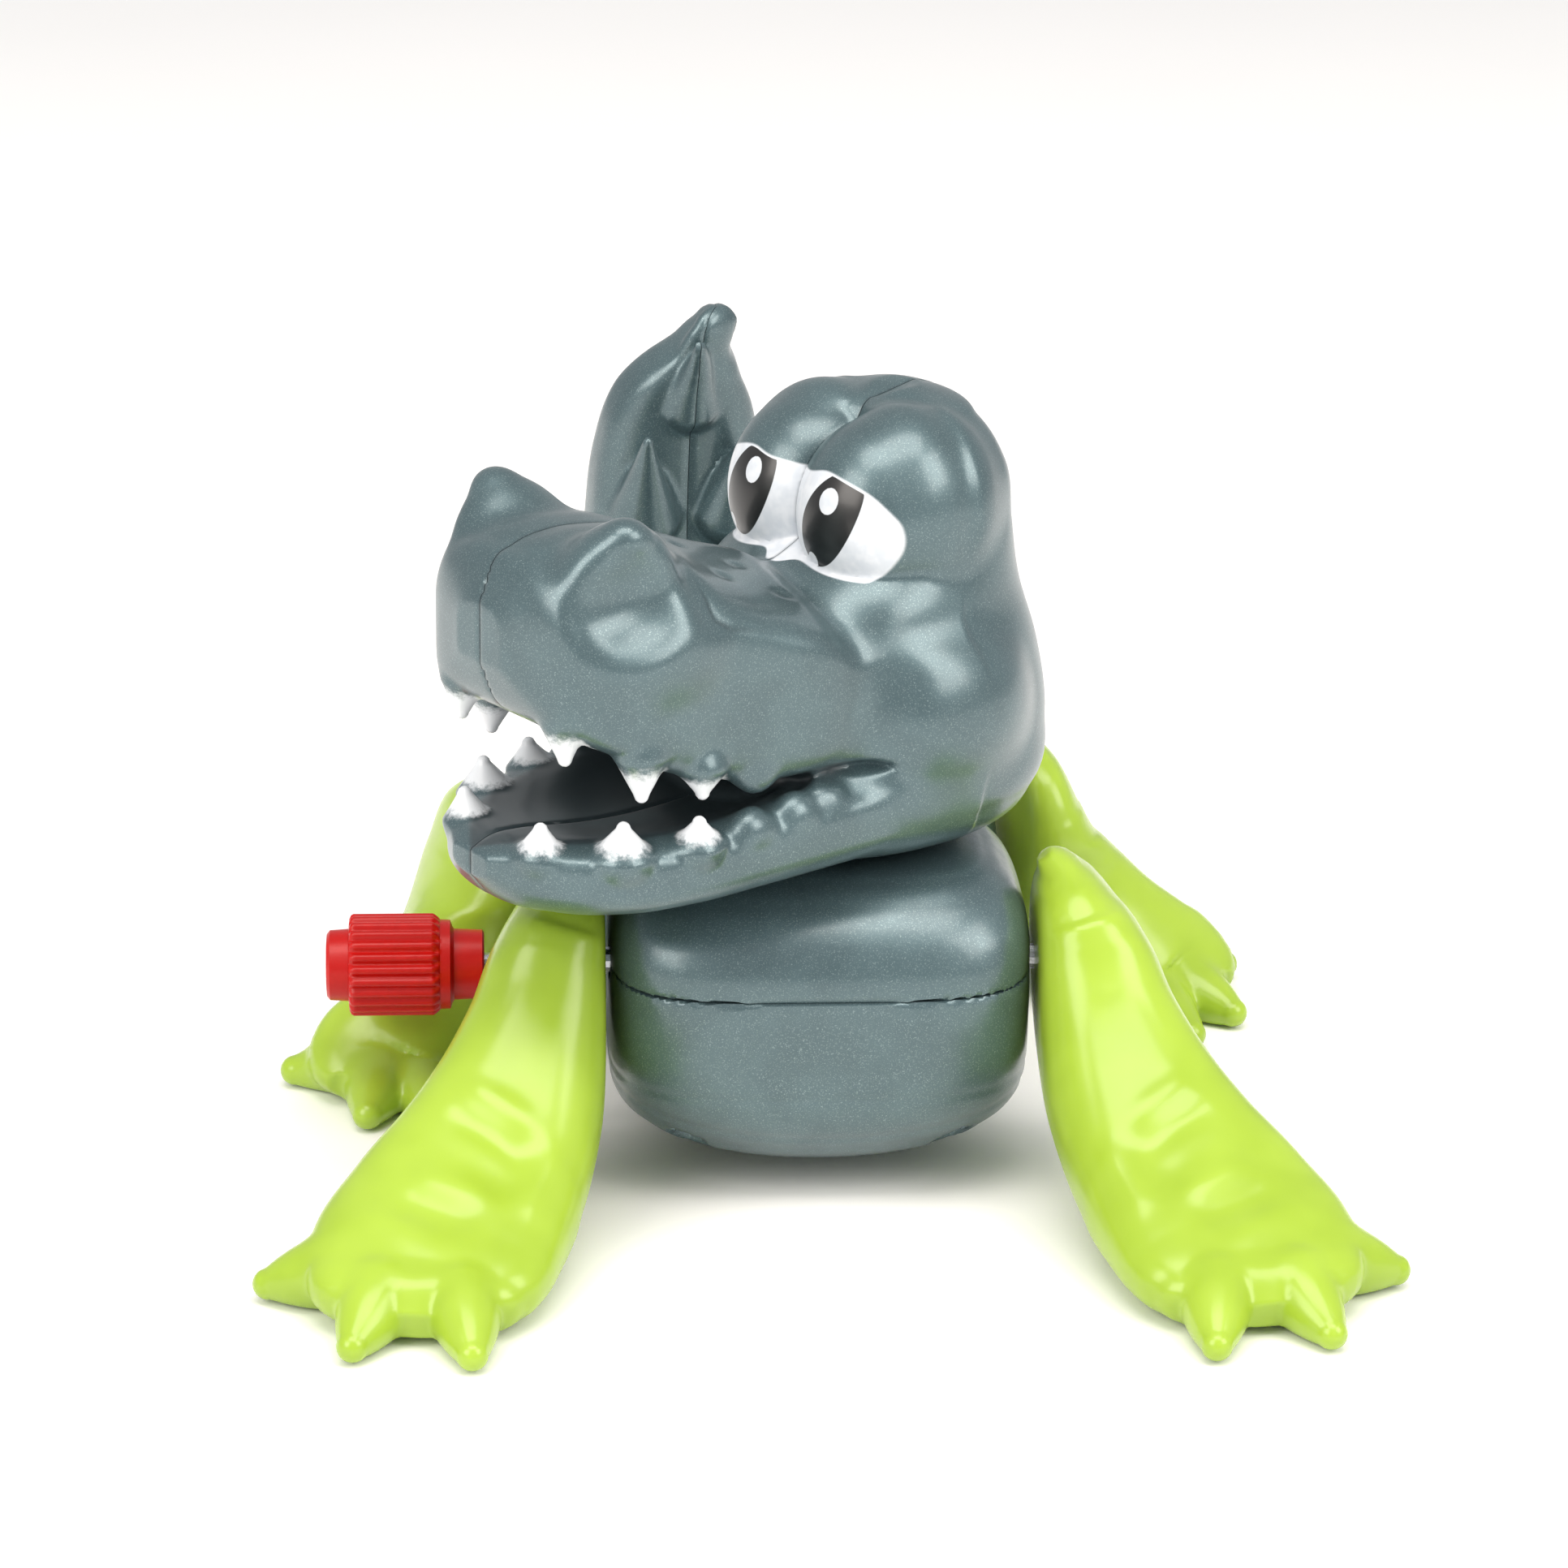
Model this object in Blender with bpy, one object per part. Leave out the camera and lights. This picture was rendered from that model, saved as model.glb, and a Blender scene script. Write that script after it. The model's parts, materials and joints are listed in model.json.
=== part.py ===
# Wind-up crawling crocodile: a clockwork toy of moulded halves, in metres, +Z up.
# It faces -Y, its left side is +X, and it stands on the plane z = 0.
# Shapes are drawn in millimetres in the front body's frame and scaled by MM.
import math

import bpy
import bmesh
from mathutils import Vector

MM = 0.001

# Fits
GAP = 0.3                # between pieces that touch on the real toy
RUNNING = 0.25           # radial clearance of a shaft in its hole
SWING_GAP = 0.7          # between the front body and the rear body

# Front body
BODY_WIDTH = 33.0
BODY_FRONT = 15.6        # front face ahead of the origin
BODY_BACK = 12.0         # rear face behind it
BODY_BOTTOM = 2.4
SEAM_Z = 18.0
BODY_TOP = 26.6
BODY_WALL = 1.2

# Neck and head
NECK_Y = -0.5
NECK_BORE = 4.4
HEAD_TURN = -55.0        # degrees, as it stands
HEAD_SCALE = 1.0
HEAD_BOTTOM = BODY_TOP + 0.4
HEAD_WALL = 1.4

# Front legs
LEG_SHAFT_Y = -6.0
LEG_SHAFT_RADIUS = 1.0
LEG_BOSS_RADIUS = 8.0
LEG_REACH = 31.5         # from the shaft forward to the middle of the palm's end

# Winding
STEM_Y = 4.0
STEM_Z = 13.7
STEM_RADIUS = 0.9
KNOB_RADIUS = 4.1
KNOB_START = 9.7         # from the body's side to the collar
KNOB_LENGTH = 12.6
KNURL_RIBS = 24

# Clockwork
FRAME_INNER = 7.0        # half the distance between the two plates
PLATE_THICK = 0.6
MODULE = 0.4
GREAT_TEETH = 30
OUTPUT_PINION_TEETH = 10
OUTPUT_WHEEL_TEETH = 20
ESCAPE_PINION_TEETH = 8
ESCAPE_POINTS = 9
ESCAPE_RADIUS = 3.0
CRANK_RADIUS = 2.2
PILLAR_RADIUS = 1.1

# Waist and rear body
WAIST_Y = BODY_BACK + 3.0
WAIST_Z = 9.8
WAIST_PIN_RADIUS = 1.0
TONGUE_HALF_WIDTH = 3.2
TONGUE_THICK = 3.6
REAR_SWING = 15.0        # degrees, as it stands
REAR_HALF_WIDTH = 21.6
REAR_WALL = 1.4
TAIL_HEIGHT = 57.0

# Fasteners
SCREW_RADIUS = 0.7
SCREW_HEAD_RADIUS = 1.4
SCREW_HEAD_HEIGHT = 1.2
POST_RADIUS = 2.1

# Places that follow from the sizes above
HALF_WIDTH = BODY_WIDTH / 2
LEG_FACE = HALF_WIDTH + GAP
LEG_SHAFT_Z = SEAM_Z
POST_X = HALF_WIDTH - 6.4
POST_FRONT_Y = -BODY_FRONT + 5.6
POST_BACK_Y = BODY_BACK - 4.8


def clear_scene():
    for item in list(bpy.data.objects):
        bpy.data.objects.remove(item, do_unlink=True)


# ---------------------------------------------------------------- materials

def linear(hex_colour):
    channels = []
    for start in (0, 2, 4):
        value = int(hex_colour[start:start + 2], 16) / 255
        channels.append(value / 12.92 if value <= 0.04045 else ((value + 0.055) / 1.055) ** 2.4)
    return (*channels, 1.0)


def material(name, hex_colour, roughness, metallic=0.0):
    made = bpy.data.materials.new(name)
    made.use_nodes = True
    shader = made.node_tree.nodes["Principled BSDF"]
    shader.inputs["Base Color"].default_value = linear(hex_colour)
    shader.inputs["Roughness"].default_value = roughness
    shader.inputs["Metallic"].default_value = metallic
    made.diffuse_color = linear(hex_colour)
    return made


# ---------------------------------------------------------------- frames

def empty(name, place, turn_deg=0.0, parent=None):
    pivot = bpy.data.objects.new(name, None)
    bpy.context.collection.objects.link(pivot)
    pivot.location = Vector(place) * MM
    pivot.rotation_euler = (0.0, 0.0, math.radians(turn_deg))
    pivot.parent = parent
    return pivot


# ---------------------------------------------------------------- meshes

def add_object(name, bm, parent, finish, origin=(0.0, 0.0, 0.0)):
    """Object with its own origin at a point of the parent's frame, sizes turned to metres."""
    shift = Vector(origin)
    for vert in bm.verts:
        vert.co = (vert.co - shift) * MM
    bmesh.ops.recalc_face_normals(bm, faces=bm.faces)
    mesh = bpy.data.meshes.new(name)
    bm.to_mesh(mesh)
    bm.free()
    mesh.shade_smooth()
    mesh.set_sharp_from_angle(angle=math.radians(35))
    made = bpy.data.objects.new(name, mesh)
    bpy.context.collection.objects.link(made)
    made.location = shift * MM
    made.parent = parent
    if finish is not None:
        mesh.materials.append(finish)
    return made


def helper(name, bm, parent):
    """Hidden shape that a Boolean reads."""
    made = add_object(name, bm, parent, None)
    made.hide_render = True
    made.display_type = 'WIRE'
    return made


def boolean(target, tool, operation):
    step = target.modifiers.new(f"{operation.lower()}_{tool.name}", 'BOOLEAN')
    step.operation = operation
    step.solver = 'EXACT'
    step.object = tool


def loft_bm(rings):
    """Closed body through rings of equal length, flat caps at both ends."""
    bm = bmesh.new()
    rows = [[bm.verts.new(point) for point in ring] for ring in rings]
    count = len(rows[0])
    for low, high in zip(rows, rows[1:]):
        for index in range(count):
            after = (index + 1) % count
            bm.faces.new((low[index], low[after], high[after], high[index]))
    bm.faces.new(list(reversed(rows[0])))
    bm.faces.new(rows[-1])
    return bm


def rounded_ring(count, half_a, half_b, power=2.0):
    """Points of |x/a|^p + |y/b|^p = 1, starting beside +x."""
    points = []
    for index in range(count):
        angle = 2 * math.pi * (index + 0.5) / count
        cosine = math.cos(angle)
        sine = math.sin(angle)
        x = math.copysign(abs(cosine) ** (2 / power), cosine) * half_a
        y = math.copysign(abs(sine) ** (2 / power), sine) * half_b
        points.append((x, y))
    return points


def box_bm(low, high):
    bm = bmesh.new()
    bmesh.ops.create_cube(bm, size=1.0)
    size = [b - a for a, b in zip(low, high)]
    middle = [(a + b) / 2 for a, b in zip(low, high)]
    bmesh.ops.scale(bm, vec=size, verts=bm.verts)
    bmesh.ops.translate(bm, vec=middle, verts=bm.verts)
    return bm


def turned_bm(profile, centre, axis='X', count=16):
    """Solid of (position along the axis, radius) pairs, turned about an axis line."""
    rings = []
    for along, radius in profile:
        ring = []
        for index in range(count):
            angle = 2 * math.pi * (index + 0.5) / count
            across = radius * math.cos(angle)
            up = radius * math.sin(angle)
            if axis == 'X':
                ring.append((along, centre[0] + across, centre[1] + up))
            else:
                ring.append((centre[0] + across, centre[1] + up, along))
        rings.append(ring)
    return loft_bm(rings)


def tube_bm(start, end, outer, inner, centre, axis='X', count=16):
    """Ring with a bore: the outer wall, both flat ends and the inner wall."""
    bm = bmesh.new()
    loops = []
    for along, radius in ((start, outer), (end, outer), (end, inner), (start, inner)):
        loop = []
        for index in range(count):
            angle = 2 * math.pi * (index + 0.5) / count
            across = radius * math.cos(angle)
            up = radius * math.sin(angle)
            if axis == 'X':
                loop.append(bm.verts.new((along, centre[0] + across, centre[1] + up)))
            else:
                loop.append(bm.verts.new((centre[0] + across, centre[1] + up, along)))
        loops.append(loop)
    for one, two in zip(loops, loops[1:] + loops[:1]):
        for index in range(count):
            after = (index + 1) % count
            bm.faces.new((one[index], one[after], two[after], two[index]))
    return bm


def plate_bm(outline, start, end):
    """Flat plate of a (y, z) outline between two x positions."""
    return loft_bm([[(x, y, z) for y, z in outline] for x in (start, end)])


def ball_bm(centre, radii, count=10):
    bm = bmesh.new()
    bmesh.ops.create_uvsphere(bm, u_segments=count, v_segments=count // 2 + 1, radius=1.0)
    bmesh.ops.scale(bm, vec=radii, verts=bm.verts)
    bmesh.ops.translate(bm, vec=centre, verts=bm.verts)
    return bm


def horn_bm(base, tip, base_radius, tip_radius, count=7):
    """Tapered horn with a rounded end from base to tip."""
    base = Vector(base)
    tip = Vector(tip)
    along = (tip - base).normalized()
    side = along.orthogonal().normalized()
    other = along.cross(side)
    rings = []
    for part, share in ((0.0, 1.0), (0.5, 0.68), (0.88, 0.26), (1.0, 0.0)):
        radius = tip_radius + (base_radius - tip_radius) * share
        radius = radius if part < 1.0 else tip_radius * 0.4
        middle = base.lerp(tip, part)
        ring = []
        for index in range(count):
            angle = 2 * math.pi * index / count
            ring.append(middle + side * radius * math.cos(angle) + other * radius * math.sin(angle))
        rings.append(ring)
    return loft_bm(rings)


# ---------------------------------------------------------------- front body

# Height, half width, front and back, each as a distance inside the body's own box.
BODY_UPPER = (
    (SEAM_Z, 0.0, 0.2, 0.0),
    (BODY_TOP - 3.4, 0.3, 1.2, 0.4),
    (BODY_TOP - 1.4, 1.6, 2.6, 1.4),
    (BODY_TOP - 0.4, 3.4, 4.2, 2.8),
    (BODY_TOP, 5.6, 6.0, 4.6),
)
BODY_LOWER = (
    (SEAM_Z, 0.0, 0.2, 0.0),
    (BODY_BOTTOM + 9.6, 0.0, 0.0, 0.0),
    (BODY_BOTTOM + 5.6, 0.2, 0.4, 0.2),
    (BODY_BOTTOM + 2.6, 2.9, 2.0, 1.2),
    (BODY_BOTTOM + 0.8, 6.0, 4.2, 2.8),
    (BODY_BOTTOM, 8.5, 6.1, 4.0),
)


def body_ring(z, side_in, front_in, back_in, inset, count=28):
    half = HALF_WIDTH - side_in - inset
    front = -BODY_FRONT + front_in + inset
    back = BODY_BACK - back_in - inset
    middle = (front + back) / 2
    reach = (back - front) / 2
    return [(x, middle + y, z) for x, y in rounded_ring(count, half, reach, 5.0)]


def shell_bm(levels, away):
    """Open shell: inner rings from the closed end to the rim, then the outer rings back."""
    inner = []
    for z, side_in, front_in, back_in in reversed(levels[1:]):
        inner.append(body_ring(z - away * BODY_WALL, side_in, front_in, back_in, BODY_WALL))
    rim = levels[0][0] + away * GAP / 2
    inner.append(body_ring(rim, *levels[0][1:], BODY_WALL))
    outer = [body_ring(rim, *levels[0][1:], 0.0)]
    for z, side_in, front_in, back_in in levels[1:]:
        outer.append(body_ring(z, side_in, front_in, back_in, 0.0))
    return loft_bm(inner + outer)


def make_front_body(body, plastic, steel):
    upper = add_object("body_upper_shell", shell_bm(BODY_UPPER, 1), body, plastic)
    lower = add_object("body_lower_shell", shell_bm(BODY_LOWER, -1), body, plastic)

    hole = helper("leg_shaft_hole", turned_bm(
        [(-HALF_WIDTH - 2, LEG_SHAFT_RADIUS + RUNNING), (HALF_WIDTH + 2, LEG_SHAFT_RADIUS + RUNNING)],
        (LEG_SHAFT_Y, LEG_SHAFT_Z)), body)
    boolean(upper, hole, 'DIFFERENCE')
    boolean(lower, hole, 'DIFFERENCE')

    stem_hole = helper("stem_hole", turned_bm(
        [(-HALF_WIDTH - 2, STEM_RADIUS + RUNNING), (-HALF_WIDTH + 3, STEM_RADIUS + RUNNING)],
        (STEM_Y, STEM_Z)), body)
    boolean(lower, stem_hole, 'DIFFERENCE')

    neck_hole = helper("neck_hole", turned_bm(
        [(BODY_TOP - 4, NECK_BORE), (BODY_TOP + 2, NECK_BORE)], (0, NECK_Y), 'Z', 20), body)
    boolean(upper, neck_hole, 'DIFFERENCE')

    # Tongue at the back, rounded about the waist pin
    tongue_low = WAIST_Z - TONGUE_THICK / 2
    tongue_high = WAIST_Z + TONGUE_THICK / 2
    root = BODY_BACK - BODY_WALL / 2
    outline = [(TONGUE_HALF_WIDTH, root), (-TONGUE_HALF_WIDTH, root)]
    for step in range(9):
        angle = math.pi - math.pi * step / 8
        outline.append((TONGUE_HALF_WIDTH * math.cos(angle), WAIST_Y + TONGUE_HALF_WIDTH * math.sin(angle)))
    tongue = loft_bm([[(x, y, z) for x, y in outline] for z in (tongue_low, tongue_high)])
    boolean(lower, helper("tongue", tongue, body), 'UNION')
    pin_hole = turned_bm([(tongue_low - 1, WAIST_PIN_RADIUS + RUNNING), (tongue_high + 1, WAIST_PIN_RADIUS + RUNNING)],
                         (0, WAIST_Y), 'Z')
    boolean(lower, helper("tongue_pin_hole", pin_hole, body), 'DIFFERENCE')

    # Ribs under the two motor plates
    for name, side in (("left", 1), ("right", -1)):
        x = side * (FRAME_INNER + PLATE_THICK / 2)
        rib = box_bm((x - 0.5, -8.0, BODY_BOTTOM + BODY_WALL / 2), (x + 0.5, 6.0, PLATE_LOW - GAP))
        boolean(lower, helper(f"plate_rib_{name}", rib, body), 'UNION')

    # Four posts: the upper ones take the screws' threads, the lower ones their heads
    split = SEAM_Z - 5.0
    seat = BODY_BOTTOM + 5.6
    bore_radius = SCREW_RADIUS + RUNNING
    mouth = SCREW_HEAD_RADIUS + RUNNING
    places = [(x, y) for x in (POST_X, -POST_X) for y in (POST_FRONT_Y, POST_BACK_Y)]
    for number, at in enumerate(places, 1):
        top = turned_bm([(split + GAP / 2, POST_RADIUS), (BODY_TOP - BODY_WALL * 1.7, POST_RADIUS)], at, 'Z', 8)
        boolean(upper, helper(f"upper_post_{number}", top, body), 'UNION')
        low = turned_bm([(BODY_BOTTOM + 3.4, POST_RADIUS), (split - GAP / 2, POST_RADIUS)], at, 'Z', 8)
        boolean(lower, helper(f"lower_post_{number}", low, body), 'UNION')
    for number, at in enumerate(places, 1):
        pilot = turned_bm([(split - 2, bore_radius), (split + 6.0, bore_radius)], at, 'Z', 10)
        boolean(upper, helper(f"pilot_{number}", pilot, body), 'DIFFERENCE')
        well = turned_bm([(BODY_BOTTOM - 1, mouth), (seat, mouth), (seat, bore_radius), (split + 1, bore_radius)],
                         at, 'Z', 10)
        boolean(lower, helper(f"screw_well_{number}", well, body), 'DIFFERENCE')
        make_screw(f"belly_screw_{number}", body, steel, at, seat - GAP, split + 5.0)


def make_screw(name, parent, steel, place, seat, end):
    """Pan-head screw along +Z with a cross recess; its head hangs below the seat."""
    head = seat - SCREW_HEAD_HEIGHT
    bm = turned_bm([
        (head, SCREW_HEAD_RADIUS * 0.7), (head + 0.4, SCREW_HEAD_RADIUS), (seat, SCREW_HEAD_RADIUS),
        (seat, SCREW_RADIUS), (end - 0.8, SCREW_RADIUS), (end, 0.25)], place, 'Z', 8)
    screw = add_object(name, bm, parent, steel, (place[0], place[1], seat))
    for tag, half_x, half_y in (("a", 0.9, 0.22), ("b", 0.22, 0.9)):
        slot = box_bm((place[0] - half_x, place[1] - half_y, head - 1), (place[0] + half_x, place[1] + half_y, head + 0.6))
        boolean(screw, helper(f"{name}_slot_{tag}", slot, parent), 'DIFFERENCE')


# ---------------------------------------------------------------- clockwork

PLATE_LOW = BODY_BOTTOM + 3.0
PLATE_HIGH = BODY_TOP - 4.4
GREAT_PITCH = MODULE * GREAT_TEETH / 2
OUTPUT_PINION_PITCH = MODULE * OUTPUT_PINION_TEETH / 2
OUTPUT_WHEEL_PITCH = MODULE * OUTPUT_WHEEL_TEETH / 2
ESCAPE_PINION_PITCH = MODULE * ESCAPE_PINION_TEETH / 2


def beside(centre, distance, angle_deg):
    """Point at a distance and angle in the (y, z) plane, the angle counted from +y towards +z."""
    angle = math.radians(angle_deg)
    return (centre[0] + distance * math.cos(angle), centre[1] + distance * math.sin(angle))


STEM_AT = (STEM_Y, STEM_Z)
OUTPUT_ANGLE = 190.0
ESCAPE_ANGLE = 200.0
OUTPUT_AT = beside(STEM_AT, GREAT_PITCH + OUTPUT_PINION_PITCH, OUTPUT_ANGLE)
ESCAPE_AT = beside(OUTPUT_AT, OUTPUT_WHEEL_PITCH + ESCAPE_PINION_PITCH, ESCAPE_ANGLE)
# The anchor hangs at 45 degrees behind this much room and swings back where there is less
ANCHOR_ROOM = 6.46
PALLET_ANGLE = 315.0 + 8.0 * (ANCHOR_ROOM - BODY_FRONT - ESCAPE_AT[0])
PALLET_AT = beside(ESCAPE_AT, ESCAPE_RADIUS + 2.2, PALLET_ANGLE)
LEG_SHAFT_AT = (LEG_SHAFT_Y, LEG_SHAFT_Z)
PILLARS_AT = (
    (-BODY_FRONT + 3.8, SEAM_Z - 1.0),
    (BODY_BACK - 3.4, SEAM_Z + 3.0),
    (BODY_BACK - 4.6, BODY_BOTTOM + 4.2),
)
ARBOR_RADIUS = 0.6

# Planes of the wheels along x
SPRING_PLANE = (-FRAME_INNER + 0.5, -2.5)
GREAT_PLANE = (-2.0, -0.8)
RATCHET_PLANE = (-0.5, 0.3)
OUTPUT_WHEEL_PLANE = (0.8, 2.0)
ESCAPE_PLANE = (2.6, 3.4)
CRANK_PLANE = (4.2, 5.0)
FORK_PLANE = (6.0, FRAME_INNER - GAP)


def toothed_outline(centre, teeth, first_deg):
    """Trapezoid teeth, slim enough to run free; the first tooth points along first_deg."""
    pitch = MODULE * teeth / 2
    tip = pitch + 0.8 * MODULE
    root = pitch - 1.15 * MODULE
    step = 2 * math.pi / teeth
    outline = []
    for tooth in range(teeth):
        middle = math.radians(first_deg) + tooth * step
        for share, radius in ((-0.25, root), (-0.09, tip), (0.09, tip), (0.25, root)):
            angle = middle + share * step
            outline.append((centre[0] + radius * math.cos(angle), centre[1] + radius * math.sin(angle)))
    return outline


def make_arbor(name, parent, steel, centre, radius, end=FRAME_INNER + PLATE_THICK + 0.3):
    start = -FRAME_INNER - PLATE_THICK - 0.3
    bm = turned_bm([(start, radius), (end, radius)], centre, 'X', 10)
    return add_object(name, bm, parent, steel, (0, *centre))


def bore(target, parent, name, centre, radius, start, end):
    hole = turned_bm([(start, radius), (end, radius)], centre, 'X', 12)
    boolean(target, helper(f"{name}_bore", hole, parent), 'DIFFERENCE')


def make_frame(body, steel):
    outline = [
        (-BODY_FRONT + 2.2, SEAM_Z - 0.5), (-BODY_FRONT + 2.2, PLATE_LOW + 4.4), (-BODY_FRONT + 6.0, PLATE_LOW),
        (BODY_BACK - 4.2, PLATE_LOW), (BODY_BACK - 2.2, PLATE_LOW + 3.4), (BODY_BACK - 2.2, PLATE_HIGH),
        (LEG_SHAFT_Y - 2.0, PLATE_HIGH)]
    holes = [(STEM_AT, STEM_RADIUS), (OUTPUT_AT, ARBOR_RADIUS), (ESCAPE_AT, ARBOR_RADIUS),
             (PALLET_AT, ARBOR_RADIUS), (LEG_SHAFT_AT, LEG_SHAFT_RADIUS)]
    for name, side in (("left", 1), ("right", -1)):
        faces = sorted((side * FRAME_INNER, side * (FRAME_INNER + PLATE_THICK)))
        plate = add_object(f"frame_plate_{name}", plate_bm(outline, *faces), body, steel)
        for number, (centre, radius) in enumerate(holes):
            if centre == OUTPUT_AT and side > 0:
                continue        # the output arbor ends before the rocker fork
            bore(plate, body, f"plate_{name}_{number}", centre, radius + RUNNING, faces[0] - 1, faces[1] + 1)
    for number, centre in enumerate(PILLARS_AT, 1):
        half = FRAME_INNER - GAP
        bm = turned_bm([(-half, PILLAR_RADIUS), (half, PILLAR_RADIUS)], centre, 'X', 12)
        add_object(f"frame_pillar_{number}", bm, body, steel, (0, *centre))


def make_mainspring(body, steel):
    """Spiral strip about the stem, from the arbor's side out to the rear pillar's side."""
    turns = 3.5
    steps = int(turns * 16)
    inner = STEM_RADIUS + 1.0
    outer = GREAT_PITCH - 0.2
    thick = 0.35
    rings = []
    for step in range(steps + 1):
        share = step / steps
        angle = 2 * math.pi * turns * share
        radius = inner + (outer - inner) * share
        near = (STEM_Y + radius * math.cos(angle), STEM_Z + radius * math.sin(angle))
        far = (STEM_Y + (radius + thick) * math.cos(angle), STEM_Z + (radius + thick) * math.sin(angle))
        rings.append([(SPRING_PLANE[0], *near), (SPRING_PLANE[1], *near), (SPRING_PLANE[1], *far), (SPRING_PLANE[0], *far)])
    add_object("mainspring", loft_bm(rings), body, steel)


def make_winding(parent, steel, red, brass):
    knob_start = HALF_WIDTH + KNOB_START
    knob_end = knob_start + KNOB_LENGTH
    stem_end = knob_end - 2.5
    bm = turned_bm([(-stem_end, STEM_RADIUS), (FRAME_INNER + PLATE_THICK + 0.3, STEM_RADIUS)], STEM_AT, 'X', 12)
    add_object("winding_stem", bm, parent, steel, (0, *STEM_AT))

    # Knob: a turned core of collar, step and end cap, and a ribbed grip round it
    collar = KNOB_RADIUS * 0.68
    core = [(0.0, collar), (2.7, collar), (2.8, KNOB_RADIUS * 0.86), (4.5, KNOB_RADIUS * 0.86),
            (4.6, collar), (KNOB_LENGTH, collar)]
    knob = add_object("winding_knob", turned_bm([(-knob_start - along, radius) for along, radius in core], STEM_AT),
                      parent, red, (0, *STEM_AT))
    ribs = []
    for index in range(2 * KNURL_RIBS):
        reach = KNOB_RADIUS - (0.35 if index % 2 else 0.0)
        ribs.append(beside(STEM_AT, reach, 180.0 * index / KNURL_RIBS))
    grip = plate_bm(ribs, -knob_start - KNOB_LENGTH + 1.8, -knob_start - 3.5)
    boolean(knob, helper("knob_grip", grip, parent), 'UNION')
    bore(knob, parent, "knob", STEM_AT, STEM_RADIUS + RUNNING, -stem_end - GAP, -knob_start + 1)

    outline = []
    for tooth in range(8):
        for share, radius in ((0.0, 2.4), (0.12, 1.75)):
            angle = 2 * math.pi * (tooth / 8 + share)
            outline.append((STEM_Y + radius * math.cos(angle), STEM_Z + radius * math.sin(angle)))
    ratchet = add_object("ratchet_wheel", plate_bm(outline, *RATCHET_PLANE), parent, brass, (0, *STEM_AT))
    bore(ratchet, parent, "ratchet", STEM_AT, STEM_RADIUS + RUNNING, RATCHET_PLANE[0] - 1, RATCHET_PLANE[1] + 1)


def make_great_wheel(parent, nylon, steel):
    wheel = add_object("great_wheel", plate_bm(toothed_outline(STEM_AT, GREAT_TEETH, OUTPUT_ANGLE), *GREAT_PLANE),
                       parent, nylon, (0, *STEM_AT))
    bore(wheel, parent, "great", STEM_AT, STEM_RADIUS + RUNNING, GREAT_PLANE[0] - 1, GREAT_PLANE[1] + 1)
    # Click: a bent lever beside the ratchet's teeth
    outline = [beside(STEM_AT, radius, angle) for radius, angle in (
        (2.75, 40), (3.3, 36), (3.8, 52), (4.4, 78), (5.0, 90), (5.0, 100), (4.2, 102), (3.6, 82), (3.1, 60))]
    add_object("ratchet_click", plate_bm(outline, *RATCHET_PLANE), parent, steel, (0, *STEM_AT))


def make_output(parent, nylon, steel):
    make_arbor("output_arbor", parent, steel, OUTPUT_AT, ARBOR_RADIUS, FORK_PLANE[0] - GAP)
    # The pinion's gap faces the great wheel's first tooth
    facing = OUTPUT_ANGLE + 180.0
    pinion = toothed_outline(OUTPUT_AT, OUTPUT_PINION_TEETH, facing + 180.0 / OUTPUT_PINION_TEETH)
    gear = add_object("output_gear", plate_bm(pinion, GREAT_PLANE[0] - 0.2, OUTPUT_WHEEL_PLANE[0] + 0.2),
                      parent, nylon, (0, *OUTPUT_AT))
    wheel = plate_bm(toothed_outline(OUTPUT_AT, OUTPUT_WHEEL_TEETH, ESCAPE_ANGLE), *OUTPUT_WHEEL_PLANE)
    boolean(gear, helper("output_wheel", wheel, parent), 'UNION')
    bore(gear, parent, "output", OUTPUT_AT, ARBOR_RADIUS + RUNNING, GREAT_PLANE[0] - 1, OUTPUT_WHEEL_PLANE[1] + 1)

    # Crank disc; its pin stands on the line to the leg shaft, nearest the shaft
    disc = add_object("crank_disc", turned_bm([(CRANK_PLANE[0], CRANK_RADIUS + 1.0), (CRANK_PLANE[1], CRANK_RADIUS + 1.0)],
                                              OUTPUT_AT, 'X', 16), parent, nylon, (0, *OUTPUT_AT))
    bore(disc, parent, "crank", OUTPUT_AT, ARBOR_RADIUS + RUNNING, CRANK_PLANE[0] - 1, CRANK_PLANE[1] + 1)
    toward = math.degrees(math.atan2(LEG_SHAFT_Z - OUTPUT_AT[1], LEG_SHAFT_Y - OUTPUT_AT[0]))
    pin_at = beside(OUTPUT_AT, CRANK_RADIUS, toward)
    pin = turned_bm([(CRANK_PLANE[1] - 0.3, 0.5), (FORK_PLANE[0] - GAP, 0.5)], pin_at, 'X', 8)
    boolean(disc, helper("crank_pin", pin, parent), 'UNION')


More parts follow.
